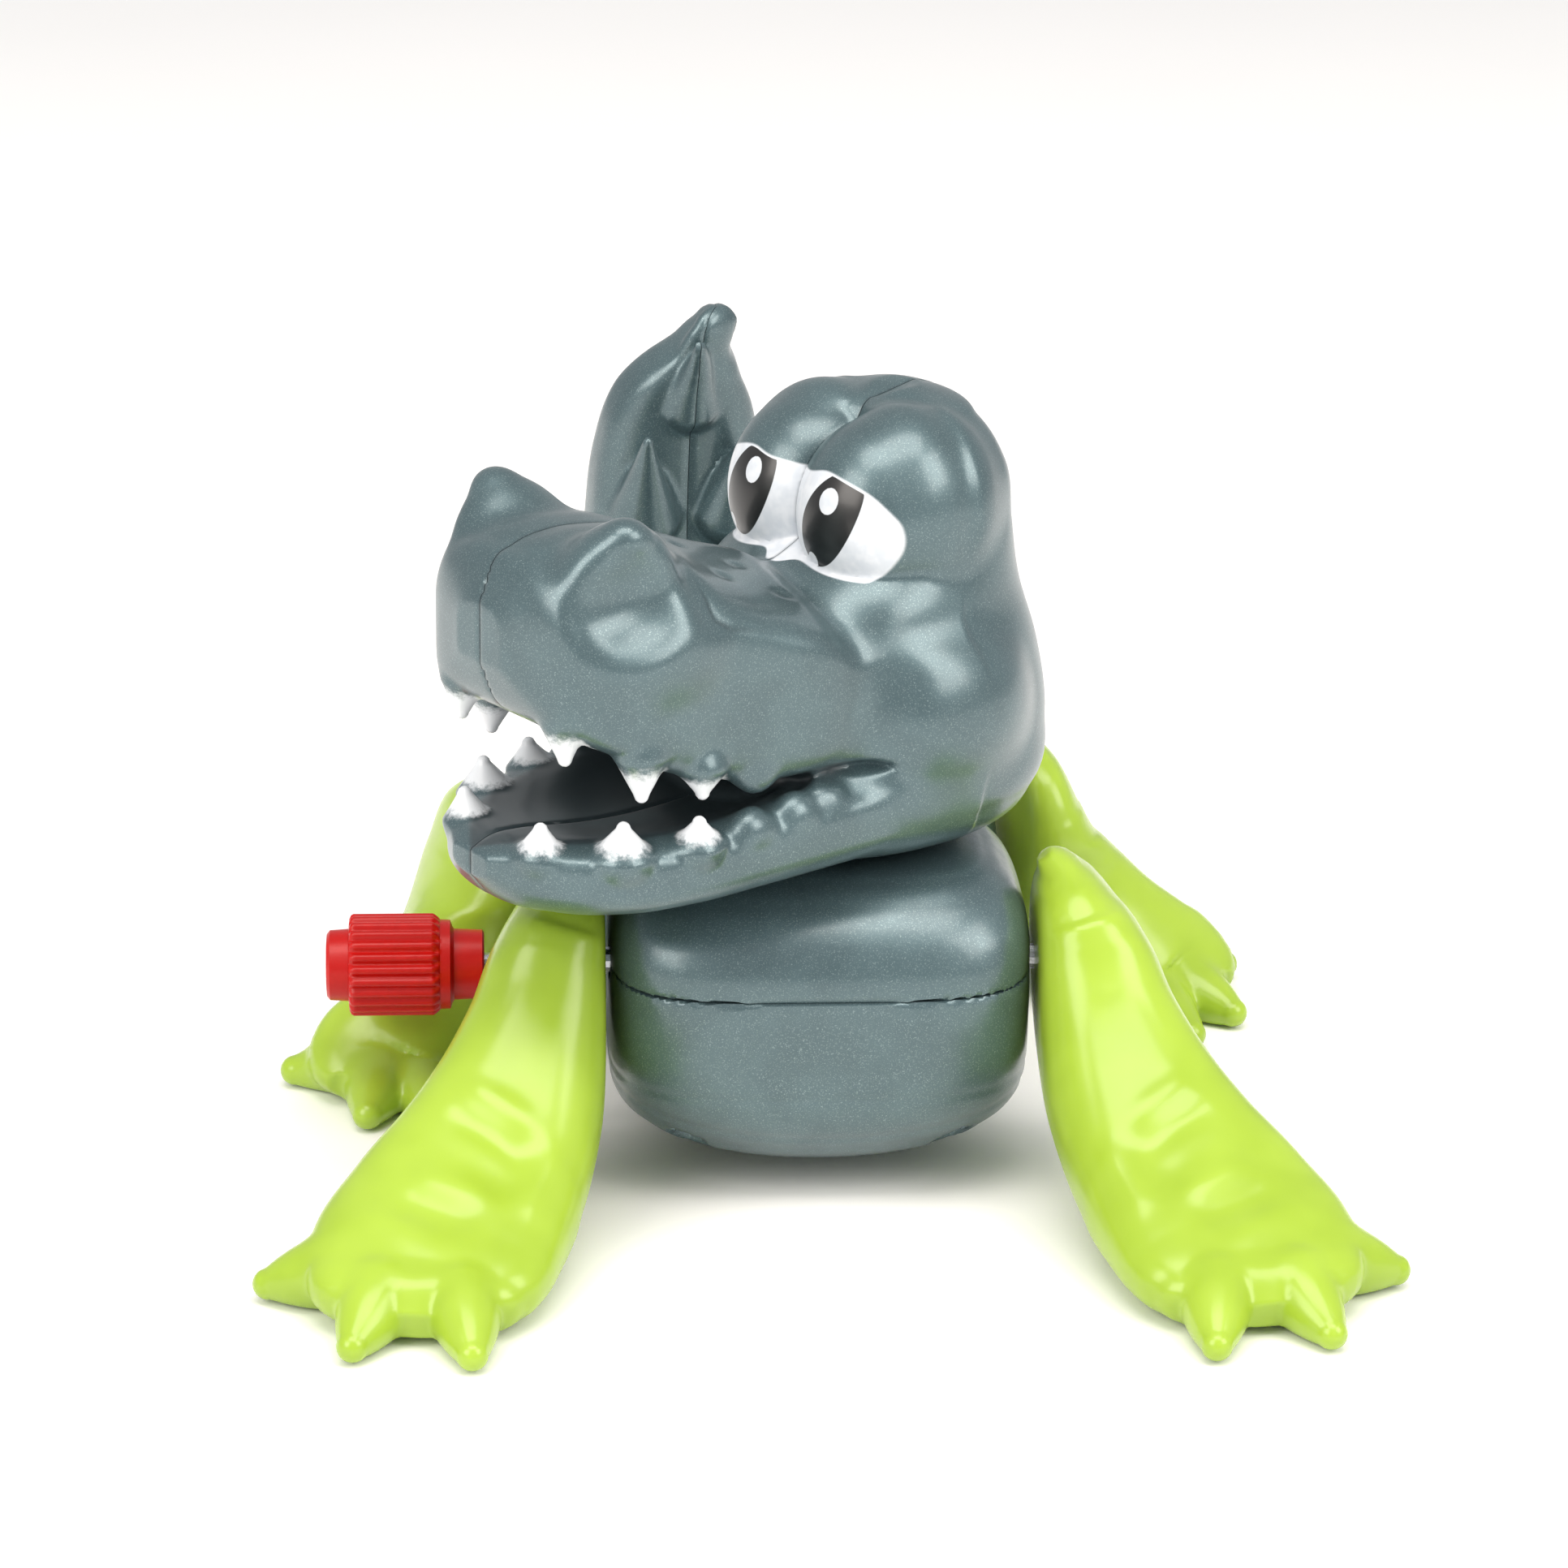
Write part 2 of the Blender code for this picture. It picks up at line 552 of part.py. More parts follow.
def make_escape(parent, nylon, steel):
    make_arbor("escape_arbor", parent, steel, ESCAPE_AT, ARBOR_RADIUS)
    facing = ESCAPE_ANGLE + 180.0
    pinion = toothed_outline(ESCAPE_AT, ESCAPE_PINION_TEETH, facing + 180.0 / ESCAPE_PINION_TEETH)
    wheel = add_object("escape_wheel", plate_bm(pinion, OUTPUT_WHEEL_PLANE[0] - 0.2, ESCAPE_PLANE[0] + 0.2),
                       parent, nylon, (0, *ESCAPE_AT))
    star = []
    for point in range(ESCAPE_POINTS):
        for share, radius in ((0.0, ESCAPE_RADIUS), (0.5, ESCAPE_RADIUS * 0.66)):
            star.append(beside(ESCAPE_AT, radius, 360.0 * (point + share) / ESCAPE_POINTS))
    boolean(wheel, helper("escape_star", plate_bm(star, *ESCAPE_PLANE), parent), 'UNION')
    bore(wheel, parent, "escape", ESCAPE_AT, ARBOR_RADIUS + RUNNING, OUTPUT_WHEEL_PLANE[0] - 1, ESCAPE_PLANE[1] + 1)


def make_pallet(parent, steel):
    """Rocking anchor: an arc that stands clear of the star, on its own arbor."""
    make_arbor("pallet_arbor", parent, steel, PALLET_AT, ARBOR_RADIUS)
    near = ESCAPE_RADIUS + 0.8
    far = ESCAPE_RADIUS + 1.6
    angles = [PALLET_ANGLE - 44 + 11 * step for step in range(9)]
    outline = [beside(ESCAPE_AT, near, angle) for angle in angles]
    outline += [beside(ESCAPE_AT, far, angle) for angle in reversed(angles)]
    pallet = add_object("escape_pallet", plate_bm(outline, *ESCAPE_PLANE), parent, steel, (0, *PALLET_AT))
    hub = turned_bm([(ESCAPE_PLANE[0] - 0.2, 1.4), (ESCAPE_PLANE[1] + 0.2, 1.4)], PALLET_AT, 'X', 12)
    boolean(pallet, helper("pallet_hub", hub, parent), 'UNION')
    bore(pallet, parent, "pallet", PALLET_AT, ARBOR_RADIUS + RUNNING, ESCAPE_PLANE[0] - 1, ESCAPE_PLANE[1] + 1)


# ---------------------------------------------------------------- legs

def limb_rings(stations, count=14):
    """Rings of half width and half depth, square to a bent path."""
    centres = [Vector(station[:3]) for station in stations]
    rings = []
    for index, station in enumerate(stations):
        before = centres[max(index - 1, 0)]
        after = centres[min(index + 1, len(centres) - 1)]
        along = (after - before).normalized()
        across = Vector((0, 1, 0)).cross(along) if abs(along.y) < 0.8 else Vector((1, 0, 0))
        across = (across - along * across.dot(along)).normalized()
        if across.x < 0:
            across = -across
        thick = along.cross(across)
        ring = []
        for a, b in rounded_ring(count, station[3], station[4], 2.4):
            ring.append(centres[index] + across * a + thick * b)
        rings.append(ring)
    return rings


def mirrored(bm):
    bmesh.ops.scale(bm, vec=(-1, 1, 1), verts=bm.verts)
    bmesh.ops.reverse_faces(bm, faces=bm.faces)
    return bm


def front_leg_stations():
    """Centre, half width outward and half depth, from above the shaft to the palm."""
    y = LEG_SHAFT_Y
    z = LEG_SHAFT_Z
    x = LEG_FACE
    reach = LEG_REACH
    return (
        (x + 1.6, y + 1.0, z + LEG_BOSS_RADIUS - 0.3, 1.5, 2.4),
        (x + 2.4, y + 0.9, z + LEG_BOSS_RADIUS * 0.75, 2.6, LEG_BOSS_RADIUS * 0.66),
        (x + 3.4, y + 0.5, z + LEG_BOSS_RADIUS * 0.4, 4.0, LEG_BOSS_RADIUS * 0.9),
        (x + 4.4, y - 0.8, z, 5.0, LEG_BOSS_RADIUS * 0.98),
        (x + 5.7, y - reach * 0.15, z * 0.76, 5.7, LEG_BOSS_RADIUS * 0.88),
        (x + 7.6, y - reach * 0.33, z * 0.54, 6.0, LEG_BOSS_RADIUS * 0.76),
        (x + 10.6, y - reach * 0.52, z * 0.36, 6.8, LEG_BOSS_RADIUS * 0.6),
        (x + 13.2, y - reach * 0.68, z * 0.24, 8.0, LEG_BOSS_RADIUS * 0.5),
        (x + 15.2, y - reach * 0.82, z * 0.17, 8.8, LEG_BOSS_RADIUS * 0.4),
        (x + 16.0, y - reach * 0.94, z * 0.12, 7.6, LEG_BOSS_RADIUS * 0.32),
        (x + 16.2, y - reach, z * 0.1, 4.6, LEG_BOSS_RADIUS * 0.18),
    )


def rear_leg_stations():
    face = REAR_HALF_WIDTH + GAP
    return (
        (face + 1.0, 12.0, 22.8, 1.2, 3.6),
        (face + 1.6, 12.0, 20.8, 2.4, 6.6),
        (face + 2.4, 12.0, 16.6, 3.6, 8.6),
        (face + 3.4, 11.4, 12.4, 4.6, 8.6),
        (face + 5.2, 9.8, 8.8, 5.4, 7.2),
        (face + 8.2, 7.4, 5.8, 5.6, 5.6),
        (face + 11.2, 4.8, 3.8, 6.0, 4.4),
        (face + 13.4, 3.0, 2.6, 6.2, 3.2),
        (face + 14.4, 0.8, 2.0, 4.0, 1.6),
    )


# Root and tip of each toe: out from the leg's inner face, behind the palm's end, and up
FRONT_TOES = (((18.8, 9.9, 2.6), (26.8, 8.7, 1.3)), ((16.6, 5.5, 2.4), (19.8, -2.9, 1.3)),
              ((11.2, 4.5, 2.4), (10.6, -4.9, 1.3)))
# The same, behind the waist
REAR_TOES = (((14.1, 5.5, 2.0), (19.6, 7.6, 1.3)), ((13.7, 1.6, 2.0), (15.9, -3.2, 1.3)),
             ((10.1, 2.2, 2.1), (10.6, -6.6, 1.3)))


def make_leg(name, side, parent, lime, stations, face, toes, shift, bore_at, shaft_radius):
    """One leg, flat inside and under its foot, with three toes and a blind hole for its shaft or peg."""
    bm = loft_bm(limb_rings(stations))
    inside = box_bm((-60, -80, -20), (face, 80, 60))
    pieces = [horn_bm(Vector(base) + shift, Vector(tip) + shift, 3.1, 1.1) for base, tip in toes]
    hole = turned_bm([(face - 1, shaft_radius + RUNNING), (face + 3.3, shaft_radius + RUNNING)], bore_at, 'X', 12)
    if side < 0:
        bm = mirrored(bm)
        pieces = [mirrored(piece) for piece in pieces]
        hole = mirrored(hole)
        inside = mirrored(inside)
    leg = add_object(name, bm, parent, lime, (0, *bore_at))
    for number, piece in enumerate(pieces):
        boolean(leg, helper(f"{name}_toe_{number}", piece, parent), 'UNION')
    under = box_bm((-80, -80, -10), (80, 80, 0))
    boolean(leg, helper(f"{name}_sole_cut", under, parent), 'DIFFERENCE')
    boolean(leg, helper(f"{name}_face_cut", inside, parent), 'DIFFERENCE')
    boolean(leg, helper(f"{name}_hole", hole, parent), 'DIFFERENCE')


def make_front_legs(parent, lime, steel, nylon):
    end = LEG_FACE + 3.0
    bm = turned_bm([(-end, LEG_SHAFT_RADIUS), (end, LEG_SHAFT_RADIUS)], LEG_SHAFT_AT, 'X', 12)
    add_object("leg_shaft", bm, parent, steel, (0, *LEG_SHAFT_AT))

    # Rocker fork: a plate on the shaft whose slot reaches round the crank pin
    down = math.degrees(math.atan2(OUTPUT_AT[1] - LEG_SHAFT_Z, OUTPUT_AT[0] - LEG_SHAFT_Y))
    span = math.dist(OUTPUT_AT, LEG_SHAFT_AT)
    tip = span + CRANK_RADIUS + 0.9
    outline = [beside(LEG_SHAFT_AT, 2.2, down + angle) for angle in range(60, 301, 30)]
    along = Vector(beside((0, 0), 1.0, down))
    across = Vector((-along.y, along.x))
    shaft = Vector(LEG_SHAFT_AT)
    slot = span - CRANK_RADIUS - 1.0
    corners = ((tip, -1.9), (tip, -0.8), (slot, -0.8), (slot, 0.8), (tip, 0.8), (tip, 1.9))
    outline += [tuple(shaft + along * reach + across * off) for reach, off in corners]
    fork = add_object("rocker_fork", plate_bm(outline, *FORK_PLANE), parent, nylon, (0, *LEG_SHAFT_AT))
    bore(fork, parent, "fork", LEG_SHAFT_AT, LEG_SHAFT_RADIUS + RUNNING, FORK_PLANE[0] - 1, FORK_PLANE[1] + 1)

    shift = Vector((LEG_FACE, LEG_SHAFT_Y - LEG_REACH, 0))
    for name, side in (("left", 1), ("right", -1)):
        make_leg(f"front_leg_{name}", side, parent, lime, front_leg_stations(), LEG_FACE, FRONT_TOES, shift,
                 LEG_SHAFT_AT, LEG_SHAFT_RADIUS)


# ---------------------------------------------------------------- neck and head

def make_neck(body, nylon, steel):
    """Spool that joins the head to the body, with its screw and washer, about the neck axis."""
    at = (0, NECK_Y)
    low = BODY_TOP - BODY_WALL - GAP - 1.0
    inside = HEAD_BOTTOM + HEAD_WALL
    stem = NECK_BORE - GAP
    flange = NECK_BORE + 1.6
    spool = turned_bm([
        (low, flange), (low + 1.0, flange), (low + 1.0, stem), (inside + 2 * GAP + 0.5, stem),
        (inside + 2 * GAP + 0.5, flange), (inside + 2 * GAP + 1.5, flange)], at, 'Z', 20)
    made = add_object("neck_spool", spool, body, nylon, (0, NECK_Y, low))
    hole = turned_bm([(low - 1, SCREW_RADIUS + RUNNING), (inside + 5, SCREW_RADIUS + RUNNING)], at, 'Z', 10)
    boolean(made, helper("spool_hole", hole, body), 'DIFFERENCE')
    washer = tube_bm(inside + GAP, inside + GAP + 0.5, NECK_BORE + 1.9, NECK_BORE, at, 'Z', 20)
    add_object("neck_washer", washer, body, steel, (0, NECK_Y, inside))
    make_screw("neck_screw", body, steel, at, low - GAP, inside + 2 * GAP + 1.2)


# Height above the head's base, middle ahead of the neck, half length and half width
SKULL = (
    (0.0, -3.0, 9.5, 8.5), (1.0, -3.0, 13.0, 11.5), (4.0, -3.2, 15.0, 13.8), (9.0, -3.4, 15.6, 14.6),
    (15.0, -3.4, 14.8, 14.0), (20.0, -3.6, 13.0, 12.4), (25.0, -4.4, 11.0, 11.0), (30.0, -6.0, 8.6, 9.6),
    (33.5, -6.8, 6.4, 7.6), (35.2, -7.0, 3.4, 4.4))
# Distance ahead of the neck, underside and top above the head's base, and half width
SNOUT = (
    (-1.0, 9.8, 24.0, 13.0), (6.0, 9.4, 24.9, 12.4), (12.0, 9.6, 26.0, 11.3), (17.0, 10.6, 27.8, 11.0),
    (22.0, 12.2, 29.4, 11.4), (26.0, 13.9, 29.6, 10.8), (29.0, 15.6, 28.4, 8.8), (31.2, 17.6, 26.8, 5.8),
    (32.1, 20.0, 24.6, 2.4))
JAW = (
    (-2.0, 0.4, 8.6, 13.2), (6.0, 0.2, 8.2, 13.0), (14.0, 0.2, 7.4, 12.6), (20.0, 0.2, 6.8, 12.0),
    (25.0, 0.4, 6.6, 10.4), (29.0, 0.9, 6.5, 8.0), (31.6, 1.9, 6.4, 5.2), (33.0, 3.4, 5.9, 2.4))


def head_point(lateral, ahead, height):
    return (lateral * HEAD_SCALE, -ahead * HEAD_SCALE, HEAD_BOTTOM + height * HEAD_SCALE)


def skull_bm(inset):
    rings = []
    for height, middle, half_long, half_wide in SKULL:
        height = min(max(height, inset), SKULL[-1][0] - inset * 1.4)
        ring = rounded_ring(20, max(half_wide - inset, 0.8), max(half_long - inset, 0.8), 2.3)
        rings.append([head_point(x, middle + y, height) for x, y in ring])
    if inset:
        rings = rings[1:-1]
    return loft_bm(rings)


def muzzle_bm(levels, inset, power):
    """Body along the snout; an inset one is drawn in on every side and at its front."""
    rings = []
    for ahead, low, high, half_wide in levels:
        middle = (low + high) / 2
        half_high = max((high - low) / 2 - inset, 0.6)
        ring = rounded_ring(16, max(half_wide - inset, 0.6), half_high, power)
        rings.append([head_point(x, ahead - inset, middle + z) for x, z in ring])
    return loft_bm(rings)


# Lateral place, distance ahead, root and tip above the head's base, and radius
TEETH = (
    (5.8, 28.4, 18.0, 13.5, 1.3), (9.0, 24.0, 16.0, 10.6, 1.3), (9.6, 18.9, 15.0, 9.9, 1.2),
    (4.9, 30.2, 4.2, 7.9, 1.3), (8.8, 25.2, 4.2, 8.2, 1.3), (10.4, 19.8, 4.2, 8.3, 1.1))


def make_head(head, plastic):
    joined = [
        helper("snout", muzzle_bm(SNOUT, 0.0, 3.4), head),
        helper("jaw", muzzle_bm(JAW, 0.0, 2.8), head)]
    for side, name in ((1, "left"), (-1, "right")):
        brow = ball_bm(head_point(side * 4.9, -0.6, 29.2), [r * HEAD_SCALE for r in (5.0, 6.6, 5.8)])
        joined.append(helper(f"brow_{name}", brow, head))
        nostril = ball_bm(head_point(side * 7.4, 24.2, 28.6), [r * HEAD_SCALE for r in (3.6, 4.0, 3.4)])
        joined.append(helper(f"nostril_{name}", nostril, head))
        for number, (lateral, ahead, root, tip, radius) in enumerate(TEETH):
            tooth = horn_bm(head_point(side * lateral, ahead, root), head_point(side * lateral, ahead, tip),
                            radius * HEAD_SCALE, 0.3, 6)
            joined.append(helper(f"tooth_{name}_{number}", tooth, head))
    brain = helper("skull_hollow", skull_bm(HEAD_WALL / HEAD_SCALE), head)
    # The snout's hollow starts inside the skull's and keeps more than a wall over the palate
    hollow = [(ahead, low + HEAD_WALL * 0.6, high, wide) for ahead, low, high, wide in SNOUT[1:-2]]
    nose = helper("snout_hollow", muzzle_bm(hollow, HEAD_WALL / HEAD_SCALE, 2.4), head)
    neck = turned_bm([(HEAD_BOTTOM - 2, NECK_BORE), (HEAD_BOTTOM + HEAD_WALL + 0.6, NECK_BORE)], (0, 0), 'Z', 20)
    cuts = [brain, nose, helper("head_neck_hole", neck, head)]

    for side, name in ((1, "left"), (-1, "right")):
        half = add_object(f"head_{name}_half", skull_bm(0.0), head, plastic)
        for piece in joined:
            if piece.name.endswith(("_left", "_right")) or "tooth" in piece.name:
                if f"_{name}" not in piece.name:
                    continue
            boolean(half, piece, 'UNION')
        for cut in cuts:
            boolean(half, cut, 'DIFFERENCE')
        away = box_bm((-side * 60 if side > 0 else -GAP / 2, -80, HEAD_BOTTOM - 5),
                      (GAP / 2 if side > 0 else 60, 60, HEAD_BOTTOM + 60))
        boolean(half, helper(f"head_{name}_split", away, head), 'DIFFERENCE')


# ---------------------------------------------------------------- rear body and tail

# Distance behind the waist, height, share of the rear body's half width, and half height along the back
TRUNK = (
    (-1.0, 10.2, 0.185, 4.6), (1.0, 10.8, 0.435, 7.0), (4.6, 11.6, 0.722, 8.8), (9.5, 12.1, 0.981, 9.8),
    (15.5, 12.3, 1.0, 10.0), (22.0, 12.4, 0.935, 9.6), (28.0, 13.4, 0.685, 8.6), (32.6, 16.4, 0.509, 7.2),
    (35.6, 21.4, 0.398, 5.8))
# Share of the tail's height above the trunk, distance behind the waist, half width, half depth
TAIL = ((0.22, 37.2, 7.6, 4.9), (0.44, 37.2, 7.2, 4.4), (0.62, 36.2, 6.9, 4.0), (0.78, 34.8, 6.2, 3.5),
        (0.9, 33.2, 4.8, 2.8), (0.98, 31.8, 2.4, 1.7))
SPIKES = ((0.0, 0.9, 31.2, 0.28, 2.2), (3.4, 0.62, 31.6, 0.24, 1.8), (-3.4, 0.62, 31.6, 0.24, 1.8),
          (3.2, 0.36, 32.4, 0.2, 1.6), (-3.2, 0.36, 32.4, 0.2, 1.6))


def tail_height(share):
    base = TRUNK[-1][1]
    return base + (TAIL_HEIGHT - base) * share


def trunk_bm(inset):
    """Rear body and tail as rings square to a path that turns upward at the back."""
    stations = [(back, height, wide * REAR_HALF_WIDTH, high) for back, height, wide, high in TRUNK]
    stations += [(back, tail_height(share), wide, deep) for share, back, wide, deep in TAIL]
    if inset:
        stations = stations[2:-4]
    path = [Vector((0, back, height)) for back, height, _, _ in stations]
    rings = []
    for index, (_, _, half_wide, half_high) in enumerate(stations):
        along = path[min(index + 1, len(path) - 1)] - path[max(index - 1, 0)]
        along.normalize()
        up = Vector((0, -along.z, along.y))
        half_wide = max(half_wide - inset, 0.6)
        half_high = max(half_high - inset, 0.6)
        power = 3.8 if half_wide > 12 else 2.4
        middle = path[index]
        if inset and index == 0:
            middle = middle + along * 0.8
        rings.append([middle + Vector((x, 0, 0)) + up * z for x, z in rounded_ring(20, half_wide, half_high, power)])
    return loft_bm(rings)


def make_rear(rear, plastic, steel, lime):
    tongue_low = WAIST_Z - TONGUE_THICK / 2 - SWING_GAP
    tongue_high = WAIST_Z + TONGUE_THICK / 2 + SWING_GAP
    slot = box_bm((-TONGUE_HALF_WIDTH - 2.4, -8, tongue_low), (TONGUE_HALF_WIDTH + 2.4, TONGUE_HALF_WIDTH + 1.0, tongue_high))
    pin_low = tongue_low - 2.4
    pin_high = tongue_high + 2.4
    hole = turned_bm([(pin_low, WAIST_PIN_RADIUS + RUNNING), (pin_high, WAIST_PIN_RADIUS + RUNNING)], (0, 0), 'Z', 12)
    cuts = [helper("trunk_hollow", trunk_bm(REAR_WALL), rear), helper("tongue_slot", slot, rear),
            helper("waist_pin_hole", hole, rear)]
    spikes = []
    for number, (lateral, share, back, drop, radius) in enumerate(SPIKES):
        root = (lateral * 0.85, back + 3.6, tail_height(share - drop * 0.5))
        tip = (lateral, back - 0.6, tail_height(share))
        spikes.append((lateral, helper(f"tail_spike_{number}", horn_bm(root, tip, radius, 0.4), rear)))

    # A peg on each side holds a leg
    peg_at = (12.6, 13.6)
    for side, name in ((1, "left"), (-1, "right")):
        half = add_object(f"rear_{name}_half", trunk_bm(0.0), rear, plastic)
        for lateral, spike in spikes:
            if lateral * side >= 0:
                boolean(half, spike, 'UNION')
        for cut in cuts:
            boolean(half, cut, 'DIFFERENCE')
        bm = turned_bm([(REAR_HALF_WIDTH - 2.2, 2.0), (REAR_HALF_WIDTH + 2.6, 2.0)], peg_at, 'X', 12)
        if side < 0:
            bm = mirrored(bm)
        boolean(half, helper(f"leg_peg_{name}", bm, rear), 'UNION')
        away = box_bm((-60 if side > 0 else -GAP / 2, -60, -10), (GAP / 2 if side > 0 else 60, 80, 90))
        boolean(half, helper(f"rear_{name}_split", away, rear), 'DIFFERENCE')
        make_leg(f"rear_leg_{name}", side, rear, lime, rear_leg_stations(), REAR_HALF_WIDTH + GAP, REAR_TOES,
                 Vector((REAR_HALF_WIDTH + GAP, 0, 0)), peg_at, 2.0)

    bm = turned_bm([(pin_low + GAP, WAIST_PIN_RADIUS), (pin_high - GAP, WAIST_PIN_RADIUS)], (0, 0), 'Z', 12)
    add_object("waist_pin", bm, rear, steel, (0, 0, pin_low))


# ---------------------------------------------------------------- assembly

def rest_on_ground(root):
    """Moves the whole toy so that the middle of its box's base is at the origin."""
    bpy.context.view_layer.update()
    graph = bpy.context.evaluated_depsgraph_get()
    low = Vector((1e9, 1e9, 1e9))
    high = -low
    for item in bpy.data.objects:
        if item.type != 'MESH' or item.hide_render:
            continue
        shape = item.evaluated_get(graph)
        for vert in shape.data.vertices:
            point = item.matrix_world @ vert.co
            low = Vector(map(min, low, point))
            high = Vector(map(max, high, point))
    root.location = (-(low.x + high.x) / 2, -(low.y + high.y) / 2, -low.z)


def main():
    clear_scene()
    plastic = material("pearl_grey_plastic", "6E8087", 0.32, 0.25)
    lime = material("lime_plastic", "B4E327", 0.28)
    red = material("red_plastic", "D41A1C", 0.4)
    nylon = material("white_nylon", "E6E3DA", 0.45)
    steel = material("steel", "B9BCC0", 0.3, 1.0)
    brass = material("brass", "C9A24B", 0.35, 1.0)
    blued = material("blued_spring_steel", "4A5568", 0.35, 1.0)

    root = empty("toy", (0, 0, 0))
    body = empty("front_body", (0, 0, 0), parent=root)
    make_front_body(body, plastic, steel)
    make_frame(body, steel)
    make_mainspring(body, blued)
    make_neck(body, nylon, steel)

    make_winding(empty("winding", (0, 0, 0), parent=root), steel, red, brass)
    make_great_wheel(empty("great", (0, 0, 0), parent=root), nylon, steel)
    make_output(empty("output", (0, 0, 0), parent=root), nylon, steel)
    make_escape(empty("escape", (0, 0, 0), parent=root), nylon, steel)
    make_pallet(empty("pallet", (0, 0, 0), parent=root), steel)
    make_front_legs(empty("front_legs", (0, 0, 0), parent=root), lime, steel, nylon)

    make_head(empty("head_pivot", (0, NECK_Y, 0), HEAD_TURN, root), plastic)
    make_rear(empty("waist_pivot", (0, WAIST_Y, 0), REAR_SWING, root), plastic, steel, lime)
    rest_on_ground(root)


main()
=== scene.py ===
import json
import math
import bmesh
import bpy
import numpy as np
from mathutils import Matrix, Vector


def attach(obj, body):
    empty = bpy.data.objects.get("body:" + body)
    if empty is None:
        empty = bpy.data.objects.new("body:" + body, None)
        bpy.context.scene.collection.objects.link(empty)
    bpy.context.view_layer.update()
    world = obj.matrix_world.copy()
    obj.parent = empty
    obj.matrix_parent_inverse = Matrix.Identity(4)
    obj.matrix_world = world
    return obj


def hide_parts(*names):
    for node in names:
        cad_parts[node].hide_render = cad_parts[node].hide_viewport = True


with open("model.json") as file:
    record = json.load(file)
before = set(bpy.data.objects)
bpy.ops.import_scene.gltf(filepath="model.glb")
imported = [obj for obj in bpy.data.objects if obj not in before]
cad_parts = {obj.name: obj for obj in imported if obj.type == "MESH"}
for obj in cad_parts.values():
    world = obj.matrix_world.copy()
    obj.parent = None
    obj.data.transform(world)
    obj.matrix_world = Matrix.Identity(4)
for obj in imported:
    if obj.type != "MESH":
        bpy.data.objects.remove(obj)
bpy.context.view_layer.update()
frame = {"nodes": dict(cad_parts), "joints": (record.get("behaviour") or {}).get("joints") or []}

jointAt = {joint["name"]: np.array(joint["pos_m"]) * 1000 for joint in frame["joints"]}
toyShift = jointAt["head_turn"][1] + 0.5          # the front body's own origin along Y
neckAxis = np.array([0.0, jointAt["head_turn"][1], 0.0])
waistAxis = np.array([0.0, jointAt["rear_swing"][1], 0.0])
bodyOrigin = np.array([0.0, toyShift, 0.0])


# The shapes are fields: negative inside, about a distance in mm near the skin.

# Lesser of a and b, with a fillet about blend wide where they meet.
def smoothUnion(a, b, blend):
    mix = np.clip(0.5 + 0.5 * (b - a) / blend, 0, 1)
    return b + (a - b) * mix - blend * mix * (1 - mix)


# a with b taken out of it, and a rounded rim about blend wide.
def smoothCut(a, b, blend):
    return -smoothUnion(-a, b, blend)


# |p/r| (|p/r| - 1) / |p/r^2|, which is near to the distance from the skin.
def ellipsoid(p, middle, radii):
    q = (p - middle) / radii
    size = np.sqrt((q * q).sum(-1))
    slope = np.sqrt(((q / radii) ** 2).sum(-1)) + 1e-9
    return size * (size - 1) / slope


# Distance to the line root-tip, less a radius that goes from one end's to the other's.
def horn(p, root, tip, rootRadius, tipRadius, bow=0.0):
    root, tip = np.array(root, float), np.array(tip, float)
    along = tip - root
    t = np.clip(((p - root) @ along) / (along @ along), 0, 1)
    near = root + t[..., None] * along
    radius = rootRadius + (tipRadius - rootRadius) * t + bow * 4 * t * (1 - t)
    return np.sqrt(((p - near) ** 2).sum(-1)) - radius


# Cubic through the points (xs, ys) with each inner slope taken across its neighbours.
def curveAt(x, xs, ys):
    xs, ys = np.array(xs, float), np.array(ys, float)
    slopes = np.gradient(ys, xs)
    x = np.clip(x, xs[0], xs[-1])
    i = np.clip(np.searchsorted(xs, x) - 1, 0, len(xs) - 2)
    gap = xs[i + 1] - xs[i]
    t = (x - xs[i]) / gap
    return ((2 * t ** 3 - 3 * t ** 2 + 1) * ys[i] + (t ** 3 - 2 * t ** 2 + t) * gap * slopes[i]
            + (3 * t ** 2 - 2 * t ** 3) * ys[i + 1] + (t ** 3 - t ** 2) * gap * slopes[i + 1])


# ((|a|/A)^n + (|b|/B)^n)^(1/n) - 1 as a length: the section of a loft.
def squareness(a, b, halfA, halfB, power):
    size = (np.abs(a / halfA) ** power + np.abs(b / halfB) ** power + 1e-12) ** (1 / power)
    return (size - 1) * np.minimum(halfA, halfB)


# Loft with rows (station, middle, half a, half b); a is measured from the middle, and below it the section may
# have a power of its own.
def loftAlong(along, a, b, table, power, under=None):
    rows = np.array(table)
    middle = curveAt(along, rows[:, 0], rows[:, 1])
    halfA = np.maximum(curveAt(along, rows[:, 0], rows[:, 2]), 0.3)
    halfB = np.maximum(curveAt(along, rows[:, 0], rows[:, 3]), 0.3)
    if under:
        power = np.where(a < middle, under, power)
    skin = squareness(a - middle, b, halfA, halfB, power)
    ends = np.maximum(rows[0, 0] - along, along - rows[-1, 0])
    return np.maximum(skin, ends)


